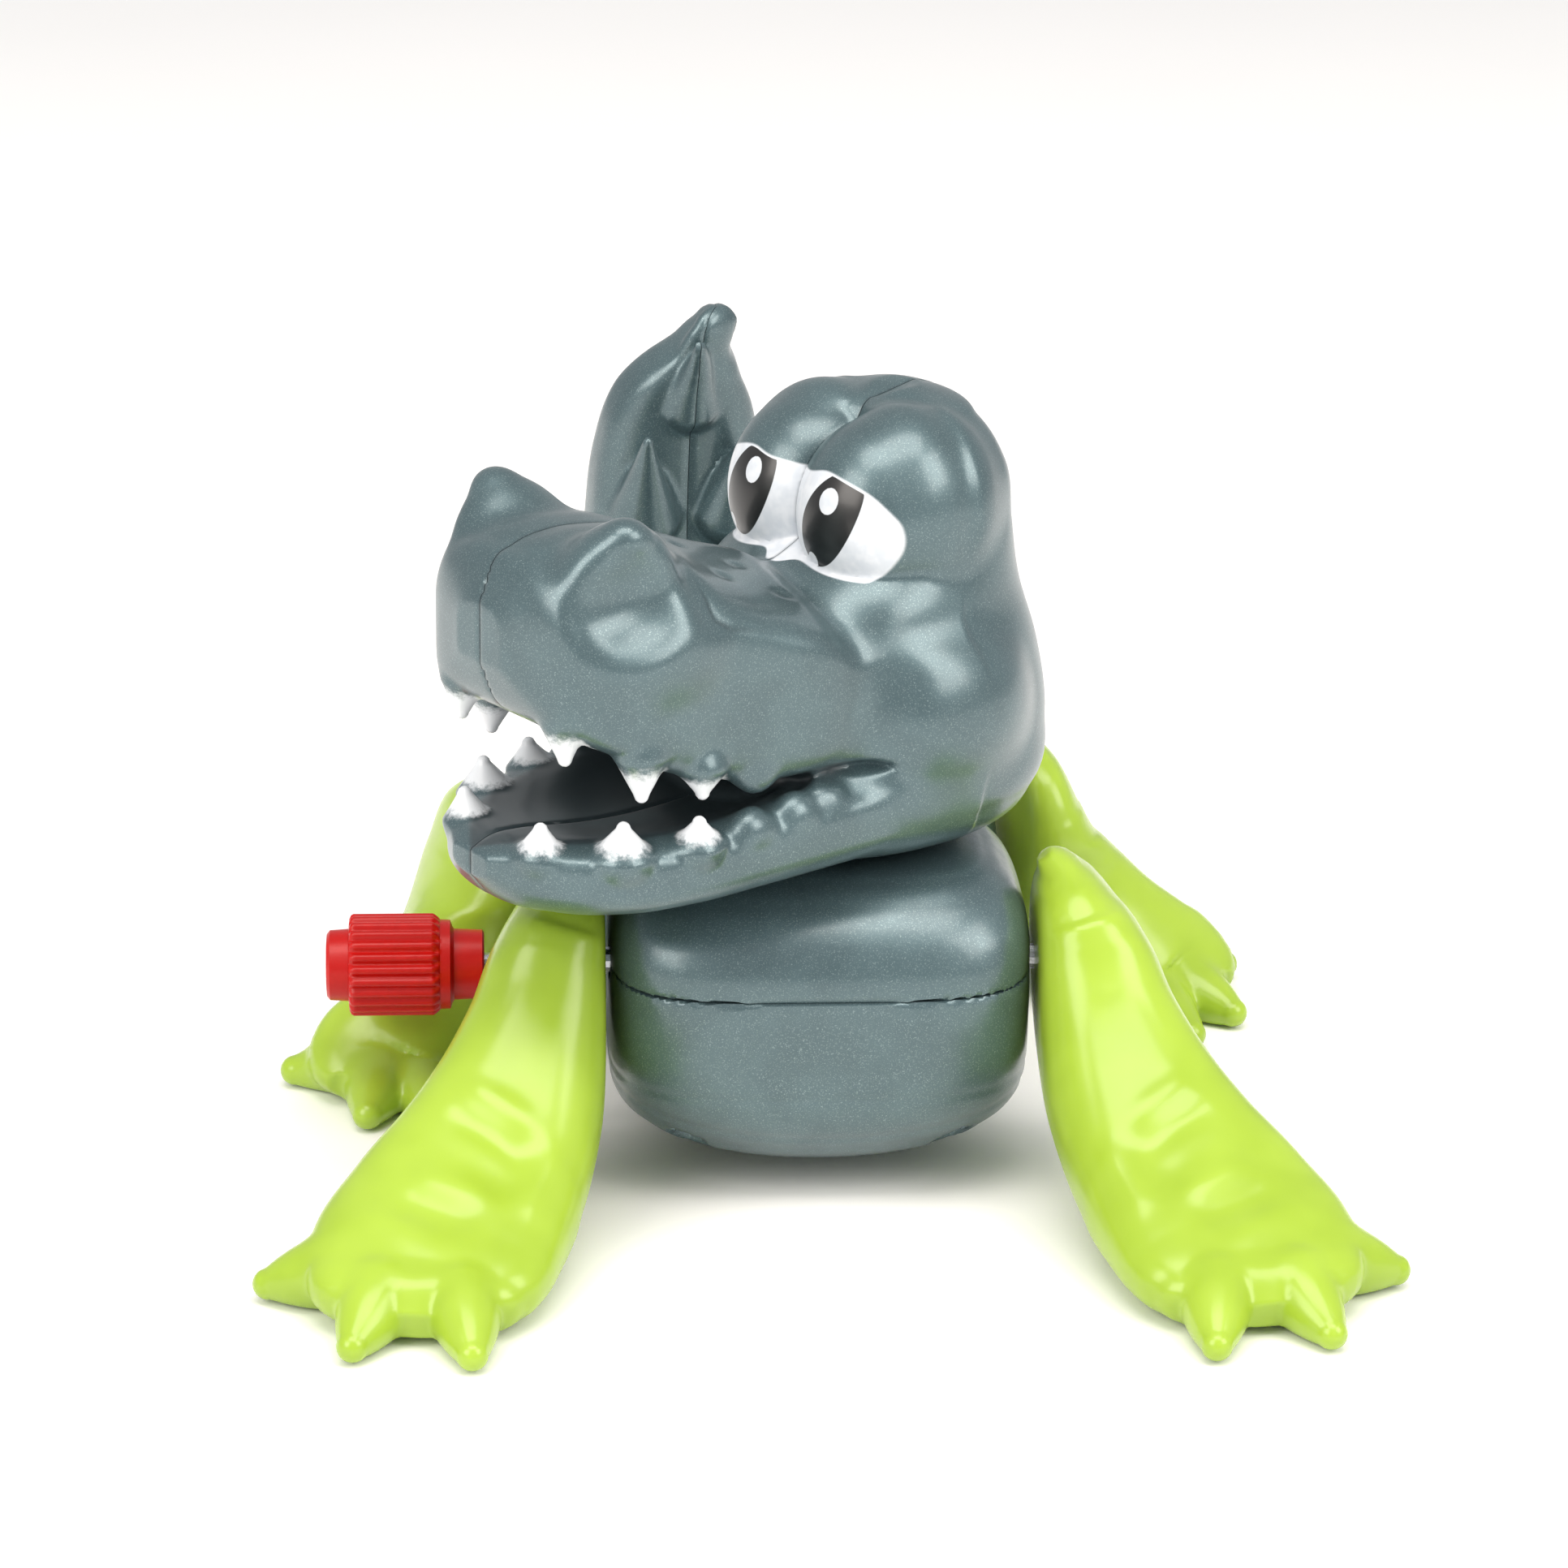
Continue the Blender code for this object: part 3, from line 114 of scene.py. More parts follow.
# Section (half outward, half deep) carried along a smooth path through the stations' middles.
def sweptLimb(p, stations, power, samples=200):
    rows = np.array(stations, float)
    reach = np.concatenate([[0], np.cumsum(np.linalg.norm(np.diff(rows[:, :3], axis=0), axis=1))])
    at = np.linspace(0, reach[-1], samples)
    fine = np.stack([curveAt(at, reach, rows[:, k]) for k in range(rows.shape[1])], 1)
    path = fine[:, :3]
    tangent = np.gradient(path, axis=0)
    step = np.linalg.norm(tangent, axis=1, keepdims=True)
    tangent /= step
    side = np.array([1.0, 0, 0]) - tangent * tangent[:, :1]
    side /= np.linalg.norm(side, axis=1, keepdims=True)
    deep = np.cross(tangent, side)
    flat = p.reshape(-1, 3)
    out = np.empty(len(flat))
    for start in range(0, len(flat), 20000):
        q = flat[start:start + 20000]
        far = (q * q).sum(1)[:, None] - 2 * q @ path.T + (path * path).sum(1)
        i = far.argmin(1)
        t = ((q - path[i]) * tangent[i]).sum(1)
        share = np.clip(t / step[i, 0], np.where(i == 0, -0.6, -4.0), np.where(i == samples - 1, 0.6, 4.0))
        slope = np.gradient(fine, axis=0)[i] * share[:, None]
        here = fine[i] + slope
        off = q - here[:, :3]
        a = (off * side[i]).sum(1)
        b = (off * deep[i]).sum(1)
        skin = squareness(a, b, np.maximum(here[:, 3], 0.3), np.maximum(here[:, 4], 0.3), power)
        beyond = np.abs((off * tangent[i]).sum(1))
        out[start:start + 20000] = np.where(beyond > 0.02, np.hypot(np.maximum(skin, 0), beyond), skin)
    return out.reshape(p.shape[:-1])


# Distance to a path of straight stretches: the least of the distances to each.
def nearPath(p, corners):
    best = np.full(p.shape[:-1], 1e9)
    for a, b in zip(corners[:-1], corners[1:]):
        a, along = np.array(a, float), np.array(b, float) - np.array(a, float)
        t = np.clip(((p - a) @ along) / (along @ along), 0, 1)
        best = np.minimum(best, np.sqrt(((p - a - t[..., None] * along) ** 2).sum(-1)))
    return best


# exp(-(distance / width)^2)
def bell(distance, width):
    return np.exp(-(distance / width) ** 2)


# Central differences of the field along X, Y and Z.
def gradientOf(field, p, h=0.03):
    steps = np.eye(3) * h
    return np.stack([(field(p + s) - field(p - s)) / (2 * h) for s in steps], -1)


# Closed surface where the field is zero: one point in each grid cell that it crosses, at the mean of the
# crossings on the cell's edges, then moved down the slope onto the zero level and evened out. plane = (axis,
# place) keeps the side above place and leaves a flat face with a sharp rim there.
def skinOfField(field, low, high, step, plane=None):
    axes = [np.arange(low[k], high[k] + step, step) for k in range(3)]
    if plane:
        axis, place = plane
        axes[axis] = np.arange(place - 1.5 * step, high[axis] + step, step)
        uncut = field
        field = lambda p: np.maximum(uncut(p), place - p[..., axis])
    value = np.stack([field(np.stack(np.meshgrid([x], axes[1], axes[2], indexing="ij"), -1)[0]) for x in axes[0]])
    total = np.zeros(tuple(n - 1 for n in value.shape) + (3,))
    count = np.zeros(total.shape[:3])
    edges = []
    for k in range(3):
        first = value[tuple(slice(0, -1) if m == k else slice(None) for m in range(3))]
        second = value[tuple(slice(1, None) if m == k else slice(None) for m in range(3))]
        at = np.array(np.nonzero((first < 0) != (second < 0)))
        f0, f1 = first[tuple(at)], second[tuple(at)]
        point = np.stack([axes[m][at[m]] for m in range(3)], 1)
        point[:, k] += step * f0 / (f0 - f1)
        u, v = [m for m in range(3) if m != k]
        for du, dv in ((0, 0), (-1, 0), (-1, -1), (0, -1)):
            cell = at.copy()
            cell[u] += du
            cell[v] += dv
            np.add.at(total, tuple(cell), point)
            np.add.at(count, tuple(cell), 1)
        edges.append((k, u, v, at, f0 < 0))
    used = np.nonzero(count)
    number = np.full(count.shape, -1)
    number[used] = np.arange(len(used[0]))
    points = total[used] / count[used][:, None]
    quads = []
    for k, u, v, at, outward in edges:
        ring = []
        for du, dv in ((0, 0), (-1, 0), (-1, -1), (0, -1)):
            cell = at.copy()
            cell[u] += du
            cell[v] += dv
            ring.append(number[tuple(cell)])
        ring = np.stack(ring, 1)
        flip = outward if k != 1 else ~outward
        ring[~flip] = ring[~flip][:, ::-1]
        quads.append(ring)
    quads = np.concatenate(quads)
    pairs = np.concatenate([quads[:, [0, 1]], quads[:, [1, 2]], quads[:, [2, 3]], quads[:, [3, 0]]])
    onPlane = np.zeros(len(points), bool)
    if plane:
        onPlane = points[:, axis] < place + 0.5 * step
        deepIn = uncut(points) < -0.9 * step
        points[onPlane, axis] = place
    for turn in range(5):
        if turn < 4:
            near = np.zeros_like(points)
            ties = np.zeros(len(points))
            np.add.at(near, pairs[:, 0], points[pairs[:, 1]])
            np.add.at(near, pairs[:, 1], points[pairs[:, 0]])
            np.add.at(ties, pairs[:, 0], 1)
            np.add.at(ties, pairs[:, 1], 1)
            even = (near / ties[:, None] - points) * 0.5
            if plane:
                even[onPlane] = 0
        else:
            even = np.zeros_like(points)
        shape = uncut if plane else field
        slope = gradientOf(shape, points)
        if plane:
            slope[onPlane, axis] = 0
        square = (slope ** 2).sum(1)
        even -= slope * ((even * slope).sum(1) / (square + 1e-9))[:, None]
        points = points + even
        depth = shape(points)
        move = np.clip(depth / (square + 1e-6), -step, step)[:, None] * slope
        if plane:
            move[onPlane & deepIn] = 0
        points = points - move
    return points, quads


# Object at the origin from an array of points in mm and an array of quads.
def meshObject(name, points, faces, material, sharpAngle=48):
    mesh = bpy.data.meshes.new(name)
    mesh.vertices.add(len(points))
    mesh.vertices.foreach_set("co", (np.asarray(points) * 0.001).ravel().astype(np.float32))
    faces = np.asarray(faces)
    mesh.loops.add(faces.size)
    mesh.loops.foreach_set("vertex_index", faces.ravel().astype(np.int32))
    mesh.polygons.add(len(faces))
    mesh.polygons.foreach_set("loop_start", np.arange(0, faces.size, faces.shape[1], dtype=np.int32))
    mesh.update(calc_edges=True)
    mesh.validate()
    mesh.shade_smooth()
    mesh.set_sharp_from_angle(angle=math.radians(sharpAngle))
    mesh.materials.append(material)
    made = bpy.data.objects.new(name, mesh)
    bpy.context.scene.collection.objects.link(made)
    return made


# Merges the points of a ring that has shrunk to one point.
def closePoles(item):
    shape = bmesh.new()
    shape.from_mesh(item.data)
    bmesh.ops.remove_doubles(shape, verts=shape.verts, dist=1e-7)
    shape.to_mesh(item.data)
    shape.free()


# One number for each point, for the material to read.
def addPointValues(item, name, values):
    layer = item.data.attributes.new(name, "FLOAT", "POINT")
    layer.data.foreach_set("value", np.asarray(values, np.float32))


# The same surface on the other side of x = 0.
def mirroredSkin(points, quads):
    return points * np.array([-1.0, 1, 1]), quads[:, ::-1]


# Points of a piece drawn about its joint's axis, turned about Z and put at the axis.
def turnedPlace(points, axisAt, degrees):
    angle = math.radians(degrees)
    turn = np.array([[math.cos(angle), math.sin(angle), 0], [-math.sin(angle), math.cos(angle), 0], [0, 0, 1]])
    return points @ turn + axisAt


# Signed distance in mm to a closed outline, negative inside: least distance to its sides, with the sign from how
# many sides a level ray crosses.
def outlineDistance(x, y, outline):
    best = np.full(x.shape, 1e9)
    inside = np.zeros(x.shape, bool)
    for (x0, y0), (x1, y1) in zip(outline, np.roll(outline, -1, axis=0)):
        dx, dy = x1 - x0, y1 - y0
        t = np.clip(((x - x0) * dx + (y - y0) * dy) / (dx * dx + dy * dy + 1e-12), 0, 1)
        best = np.minimum(best, np.hypot(x - x0 - t * dx, y - y0 - t * dy))
        crosses = ((y0 > y) != (y1 > y)) & (x < (x1 - x0) * (y - y0) / (y1 - y0 + 1e-12) + x0)
        inside ^= crosses
    return np.where(inside, -best, best)


# Closed smooth curve through the corners: on each stretch a cubic with slopes from its neighbours.
def roundedOutline(corners, count=10):
    c = np.array(corners, float)
    before, after, beyond = np.roll(c, 1, 0), np.roll(c, -1, 0), np.roll(c, -2, 0)
    t = np.linspace(0, 1, count, endpoint=False)[:, None, None]
    curve = 0.5 * (2 * c + (after - before) * t + (2 * before - 5 * c + 4 * after - beyond) * t ** 2
                   + (3 * c - before - 3 * after + beyond) * t ** 3)
    return curve.transpose(1, 0, 2).reshape(-1, 2)


# sRGB hex to the linear colour that the shader takes.
def hexColour(code):
    parts = [int(code[i:i + 2], 16) / 255 for i in (0, 2, 4)]
    return [v / 12.92 if v <= 0.04045 else ((v + 0.055) / 1.055) ** 2.4 for v in parts] + [1.0]


# Adds a node; settings are its properties or sockets' values, links its sockets' sources.
def addNode(tree, kind, settings=None, **links):
    node = tree.nodes.new(kind)
    for key, value in (settings or {}).items():
        if isinstance(key, str) and hasattr(node, key):
            setattr(node, key, value)
        else:
            node.inputs[key].default_value = value
    for key, source in links.items():
        numbered = key.startswith("in") and key[2:].isdigit()
        tree.links.new(source, node.inputs[int(key[2:]) if numbered else key.replace("_", " ")])
    return node


def newMaterial(name, settings):
    made = bpy.data.materials.new(name)
    made.use_nodes = True
    tree = made.node_tree
    shader = tree.nodes["Principled BSDF"]
    for key, value in settings.items():
        shader.inputs[key].default_value = value
    place = addNode(tree, "ShaderNodeTexCoord").outputs["Object"]
    return made, tree, shader, place


# first where share is 0 and second where it is 1; each is a colour or a source.
def blendColours(tree, share, first, second):
    node = tree.nodes.new("ShaderNodeMix")
    node.data_type = "RGBA"
    tree.links.new(share, node.inputs[0])
    for socket, value in ((node.inputs[6], first), (node.inputs[7], second)):
        if isinstance(value, (list, tuple)):
            socket.default_value = value
        else:
            tree.links.new(value, socket)
    return node.outputs[2]


# Goes smoothly from toLow to toHigh as the source goes from low to high.
def softStep(tree, source, low, high, toLow=0.0, toHigh=1.0):
    return addNode(tree, "ShaderNodeMapRange", {"interpolation_type": "SMOOTHSTEP", "clamp": True,
                   1: low, 2: high, 3: toLow, 4: toHigh}, in0=source).outputs[0]


# Noise whose lumps are about acrossMm across.
def noise(tree, place, acrossMm, detail=2.0, roughness=0.5):
    return addNode(tree, "ShaderNodeTexNoise", {"Scale": 1000.0 / acrossMm, "Detail": detail, "Roughness": roughness},
                   Vector=place).outputs[0]


pearl = {"flakeMm": 0.1, "mottleMm": 5.0, "scuffMm": 1.1, "base": "50656A", "light": "8C9EA0", "deep": "4A5E63"}


# Colour and surface of the grey: aluminium flake in a glossy moulding.
def pearlLayers(tree, place):
    flake = noise(tree, place, pearl["flakeMm"], 1.0)
    mottle = noise(tree, place, pearl["mottleMm"], 3.0)
    colour = blendColours(tree, softStep(tree, mottle, 0.35, 0.65), hexColour(pearl["deep"]), hexColour(pearl["base"]))
    colour = blendColours(tree, softStep(tree, flake, 0.5, 0.95), colour, hexColour(pearl["light"]))
    lift = addNode(tree, "ShaderNodeBump", {"Strength": 0.03, "Distance": 0.00004}, Height=flake)
    return colour, lift.outputs[0]


# Injection-moulded ABS with fine aluminium flake: satin depth under a clear gloss.
def makePearlGrey():
    made, tree, shader, place = newMaterial("pearl_grey_moulded_abs", {
        "Metallic": 0.5, "IOR": 1.5, "Coat Weight": 0.5, "Coat Roughness": 0.2, "Coat IOR": 1.5})
    colour, lift = pearlLayers(tree, place)
    tree.links.new(colour, shader.inputs["Base Color"])
    scuff = noise(tree, place, pearl["scuffMm"], 3.0)
    tree.links.new(softStep(tree, scuff, 0.3, 0.75, 0.33, 0.4), shader.inputs["Roughness"])
    tree.links.new(lift, shader.inputs["Normal"])
    return made


# The same grey with its eyes and teeth painted: white enamel with a hard edge at the eyes and an oversprayed one
# at the teeth, glossy black pupils, painted shade darkening the mouth's inside and the bridge's dimples, and dark joint
# lines.
def makePaintedPearl():
    made, tree, shader, place = newMaterial("painted_pearl_grey_abs", {
        "IOR": 1.5, "Coat Weight": 0.5, "Coat Roughness": 0.2, "Coat IOR": 1.5})
    colour, lift = pearlLayers(tree, place)

    def value(name):
        return addNode(tree, "ShaderNodeAttribute", {"attribute_name": name}).outputs["Fac"]

    spray = noise(tree, place, 0.5, 3.0, 0.7)
    tooth = addNode(tree, "ShaderNodeMath", {"operation": "ADD"}, in0=value("toothPaint"),
                    in1=softStep(tree, spray, 0.3, 0.7, -0.14, 0.14)).outputs[0]
    toothShare = softStep(tree, tooth, 0.1, 0.8)
    eyeShare = softStep(tree, value("eyeWhite"), 0.1, -0.1)
    pupilShare = softStep(tree, value("pupil"), 0.03, -0.03)
    # painted shade: the inside of the mouth is darkened towards 2C363A
    colour = blendColours(tree, softStep(tree, value("mouthShade"), 0.0, 1.0), colour, hexColour("2C363A"))
    colour = blendColours(tree, toothShare, colour, hexColour("E0E4E8"))
    brushed = softStep(tree, noise(tree, place, 1.2), 0.35, 0.7)
    whiteTone = blendColours(tree, brushed, hexColour("CDD3DA"), hexColour("DCE0E5"))
    colour = blendColours(tree, eyeShare, colour, whiteTone)
    # dark joint lines at the halves' seam and the face plate's edge, and painted shade in the bridge's dimples
    colour = blendColours(tree, softStep(tree, value("crease"), 0.0, 1.0), colour, hexColour("2F3A3F"))
    colour = blendColours(tree, pupilShare, colour, hexColour("0B0A0A"))
    tree.links.new(colour, shader.inputs["Base Color"])
    paint = addNode(tree, "ShaderNodeMath", {"operation": "MAXIMUM"}, in0=eyeShare, in1=toothShare).outputs[0]
    matt = addNode(tree, "ShaderNodeMath", {"operation": "MAXIMUM"}, in0=pupilShare, in1=value("mouthShade")).outputs[0]
    metal = addNode(tree, "ShaderNodeMath", {"operation": "MAXIMUM"}, in0=paint, in1=matt).outputs[0]
    tree.links.new(softStep(tree, metal, 0.0, 1.0, 0.5, 0.0), shader.inputs["Metallic"])
    tree.links.new(softStep(tree, paint, 0.0, 1.0, 0.36, 0.4), shader.inputs["Roughness"])
    tree.links.new(lift, shader.inputs["Normal"])
    return made


# Moulded polypropylene, bright and slightly clear, with soft sink marks in its gloss.
def makeLimePlastic():
    made, tree, shader, place = newMaterial("lime_moulded_polypropylene", {
        "Roughness": 0.24, "IOR": 1.49, "Subsurface Weight": 0.25, "Subsurface Scale": 0.0015,
        "Subsurface Radius": (1.0, 1.0, 0.25)})
    colour = blendColours(tree, softStep(tree, noise(tree, place, 9.0, 2.0), 0.35, 0.65),
                          hexColour("95B134"), hexColour("9FBB3E"))
    tree.links.new(colour, shader.inputs["Base Color"])
    sink = addNode(tree, "ShaderNodeBump", {"Strength": 0.12, "Distance": 0.0004}, Height=noise(tree, place, 4.0, 1.0))
    tree.links.new(sink.outputs[0], shader.inputs["Normal"])
    return made


# Moulded polystyrene knob, satin, its rib tops a little paler from handling.
def makeRedPlastic():
    made, tree, shader, place = newMaterial("red_moulded_polystyrene", {
        "Roughness": 0.34, "IOR": 1.55, "Specular IOR Level": 0.3})
    rub = noise(tree, place, 1.4, 4.0, 0.65)
    colour = blendColours(tree, softStep(tree, rub, 0.4, 0.75), hexColour("B20500"), hexColour("BC0C05"))
    tree.links.new(colour, shader.inputs["Base Color"])
    grain = addNode(tree, "ShaderNodeBump", {"Strength": 0.1, "Distance": 0.00005},
                    Height=noise(tree, place, 0.25, 2.0))
    tree.links.new(grain.outputs[0], shader.inputs["Normal"])
    return made


# Drawn or stamped metal: fine marks along its length vary the colour and the gloss.
def makeMetal(name, base, tint, roughness, strokeMm):
    made, tree, shader, place = newMaterial(name, {"Metallic": 1.0})
    stretched = addNode(tree, "ShaderNodeMapping", {"Scale": (0.08, 1, 1)}, Vector=place).outputs[0]
    stroke = noise(tree, stretched, strokeMm, 3.0)
    colour = blendColours(tree, softStep(tree, stroke, 0.3, 0.7), hexColour(base), hexColour(tint))
    tree.links.new(colour, shader.inputs["Base Color"])
    tree.links.new(softStep(tree, stroke, 0.3, 0.7, roughness * 0.8, roughness * 1.25), shader.inputs["Roughness"])
    marks = addNode(tree, "ShaderNodeBump", {"Strength": 0.15, "Distance": 0.00002}, Height=stroke)
    tree.links.new(marks.outputs[0], shader.inputs["Normal"])
    return made


# Natural moulded nylon for gears: waxy, faintly clear.
def makeNylon():
    made, tree, shader, place = newMaterial("natural_moulded_nylon", {
        "Roughness": 0.42, "IOR": 1.53, "Subsurface Weight": 0.2, "Subsurface Scale": 0.001})
    colour = blendColours(tree, noise(tree, place, 2.0), hexColour("DCD8CC"), hexColour("EEEBE3"))
    tree.links.new(colour, shader.inputs["Base Color"])
    return made


pearlGrey = makePearlGrey()
paintedPearl = makePaintedPearl()
limePlastic = makeLimePlastic()
redPlastic = makeRedPlastic()
nylon = makeNylon()
steel = makeMetal("drawn_mild_steel", "A9ACB0", "C8CBCE", 0.26, 0.2)
brass = makeMetal("stamped_brass", "B98F3E", "D2AC5C", 0.32, 0.2)
springSteel = makeMetal("blued_spring_steel", "38424F", "56637A", 0.34, 0.3)
print("materials made")


# Head, drawn as (left, ahead of the neck axis, up from the ground)

head = {
    "turn": -55.0, "step": 0.3, "seam": 0.03,
    # height, middle ahead, half long, half wide
    "skull": ((27.0, -3.0, 9.0, 8.5), (28.2, -3.0, 12.0, 11.2), (31, -3.2, 14.6, 13.2), (36, -3.4, 15.2, 13.4),
              (42, -3.5, 14.2, 12.6), (47, -3.6, 12.4, 11.6), (52, -6.8, 8.0, 10.3), (56.5, -7.6, 6.7, 9.2),
              (59.6, -7.5, 5.1, 7.0), (61.3, -7.5, 3.4, 4.6), (62.0, -7.5, 1.2, 1.8)),
    # ahead, middle height, half high, half wide
    "snout": ((-4, 43.0, 6.0, 12.4), (1, 43.2, 6.4, 12.5), (4, 43.4, 7.0, 12.4), (9, 44.2, 8.0, 11.9),
              (14, 45.1, 8.8, 11.4),
              (18, 46.2, 8.9, 11.2), (22, 47.4, 8.7, 11.3), (26, 48.5, 7.9, 10.8), (29, 49.0, 6.7, 9.2),
              (31.2, 49.2, 4.8, 6.6), (32.2, 49.2, 2.2, 2.8)),
    "jaw": ((-5, 31.3, 4.1, 13.0), (6, 31.2, 4.0, 13.0), (14, 30.8, 3.8, 12.6), (20, 30.4, 3.5, 12.0),
            (25, 30.3, 3.3, 10.6), (29, 30.5, 2.9, 8.2), (31.6, 30.9, 2.3, 5.2), (33.2, 31.5, 1.0, 2.2)),
    # ahead and height of the bridge along its middle; its sides fall by the slope
    "bridge": ((-2, 58.0), (2, 52.6), (4.1, 50.4), (8.8, 52.0), (14.2, 53.9), (17, 55.6), (20, 59.0), (24, 66.0)),
    "bridgeSlope": 0.33,
    "brow": ((4.7, -4.7, 53.6), (7.0, 7.3, 8.2)), "eye": ((4.3, -2.9, 53.4), (6.5, 7.2, 7.6)),
    "cheek": ((9.3, -3.4, 38.8), (6.0, 8.4, 7.2)), "ring": (7.5, 7.1, 9.1),
    # hollows along a path: corners, how deep, how wide
    "valleys": ((((11.6, 4.6, 48.0), (13.2, 4.4, 42.5), (13.0, 4.6, 37.6)), 0.75, 2.8),
                (((12.2, 3.0, 46.6), (14.2, -5.4, 46.4), (12.0, -13.0, 46.6)), 0.45, 1.6),
                (((9.0, 19.2, 55.4), (11.0, 18.8, 51.6)), 0.6, 1.8),
                (((14.6, 3.4, 35.4), (14.2, 3.2, 31.6)), 0.6, 0.8)),
    # the edge of the face plate, as a fine line
    "plateLine": ((7.0, 18.9, 55.0), (9.2, 18.6, 52.4), (10.5, 18.4, 50.3), (10.9, 17.0, 49.4), (11.1, 12.6, 48.6),
                  (10.9, 6.1, 48.6), (11.0, 4.0, 49.3), (11.8, 1.0, 51.5), (11.9, -2.4, 55.0), (10.2, -5.6, 59.2)),
    # leaf-shaped dimples on the bridge: middle, half across, half along
    "dimples": (((5.8, 14.2), 0.55, 0.9), ((3.4, 11.0), 0.5, 0.9), ((7.0, 9.2), 0.5, 0.9), ((2.2, 15.8), 0.4, 0.8)),
    # left, ahead, root height, tip height, root radius
    "upperTeeth": ((6.6, 29.2, 43.2, 40.6, 1.8), (9.6, 24.4, 40.4, 37.6, 2.0), (10.2, 19.2, 38.6, 36.9, 1.9)),
    "lowerTeeth": ((4.9, 30.2, 32.9, 34.8, 1.9), (9.0, 25.6, 33.0, 35.1, 2.3), (10.9, 20.0, 33.3, 34.9, 1.9)),
    "gumBumps": ((10.6, 14.4, 36.9, 0.8), (11.4, 15.4, 34.0, 0.9), (11.4, 11.2, 34.4, 0.9), (11.3, 8.2, 34.8, 0.8)),
    "toothPeak": 0.55,
    # nostrils: hood, its peak (root, tip, radii), the lip below and the hollow between
    "hood": ((7.0, 24.6, 53.6), (3.6, 4.8, 4.2)), "hoodPeak": ((6.8, 24.6, 54.4), (8.3, 24.9, 57.0), 2.6, 1.5),
    "lip": ((7.6, 22.6, 48.2), (4.2, 6.6, 4.8)), "nostril": ((12.0, 26.8, 53.2), (3.4, 4.6, 3.3)),
    # hollows of the mouth
    "palate": ((0, 17.0, 37.4), (9.2, 13.8, 4.6)), "tray": ((0, 17.5, 35.9), (9.7, 14.2, 3.7)),
    "mouthCorner": ((12.6, 6.2, 36.1), (2.6, 3.6, 0.75)),
    "neckHole": {"radius": 4.4, "top": 30.4},
}


# Skull, snout and jaw lofts run together, with cheeks, eyes, brows, nostrils and teeth added, and the mouth's
# hollows, the nostrils' hollows and the valleys taken out.
def headField(p):
    side = np.abs(p[..., 0])
    q = np.stack([side, p[..., 1], p[..., 2]], -1)
    f, z = p[..., 1], p[..., 2]
    shape = loftAlong(z, f, side, head["skull"], 2.3)
    shape = smoothUnion(shape, ellipsoid(q, *head["cheek"]), 1.6)
    snout = loftAlong(f, z, side, head["snout"], 2.6, 9.0)
    bridge = np.array(head["bridge"])
    snout = smoothCut(snout, curveAt(f, bridge[:, 0], bridge[:, 1]) - z - head["bridgeSlope"] * side, 2.2)
    shape = smoothUnion(shape, snout, 1.4)
    shape = smoothUnion(shape, ellipsoid(q, *head["brow"]), 0.6)
    # valley between the brows and a groove about each eye, then the eyes' domes standing out
    shape = shape + 0.8 * bell(side, 1.3) * np.clip((z - 55) / 4, 0, 1) * np.clip((f + 9) / 4, 0, 1)
    groove = ellipsoid(q, head["eye"][0], head["ring"])
    shape = shape + 0.5 * bell(groove, 0.55) * np.clip((z - 50) / 3, 0, 1) * np.clip((f + 8) / 3, 0, 1) \
        * np.clip((side - 1) / 2, 0, 1)
    shape = smoothUnion(shape, ellipsoid(q, *head["eye"]), 0.35)
    # nostrils: a hood over a hollow, with the lip's bulge below
    shape = smoothUnion(shape, ellipsoid(q, *head["hood"]), 1.5)
    shape = smoothUnion(shape, horn(q, *head["hoodPeak"]), 2.0)
    shape = smoothUnion(shape, ellipsoid(q, *head["lip"]), 1.5)
    shape = smoothCut(shape, ellipsoid(q, *head["nostril"]), 2.6)
    for corners, depth, width in head["valleys"]:
        shape = shape + depth * bell(nearPath(q, corners), width)
    for middle, across, along in head["dimples"]:
        off = np.hypot((side - middle[0]) / across, (f - middle[1]) / along)
        shape = shape + 0.24 * bell(off, 1.0) * (z > 49)
    shape = shape + 0.1 * bell(nearPath(q, head["plateLine"]), 0.26)
    # palate, then the jaw with its tray
    shape = smoothCut(shape, ellipsoid(q, *head["palate"]), 0.8)
    jaw = loftAlong(f, z, side, head["jaw"], 5.0, 2.4)
    jaw = smoothCut(jaw, ellipsoid(q, *head["tray"]), 0.9)
    shape = smoothUnion(shape, jaw, 0.8)
    for left, ahead, root, tip, radius in head["upperTeeth"] + head["lowerTeeth"]:
        tooth = horn(q, (left - 0.2, ahead - 0.1, root), (left, ahead, tip), radius, head["toothPeak"], 0.0)
        shape = smoothUnion(shape, tooth, 0.6)
    for left, ahead, up, radius in head["gumBumps"]:
        shape = smoothUnion(shape, ellipsoid(q, (left - 0.3, ahead, up), (radius, radius * 1.3, radius)), 1.6)
    shape = smoothCut(shape, ellipsoid(q, *head["mouthCorner"]), 0.5)
    # fine seam between the halves
    shape = shape + 0.1 * bell(side, 0.22)
    hole = head["neckHole"]
    neckHole = np.maximum(np.hypot(p[..., 0], f) - hole["radius"], z - hole["top"])
    return np.maximum(shape, -neckHole)


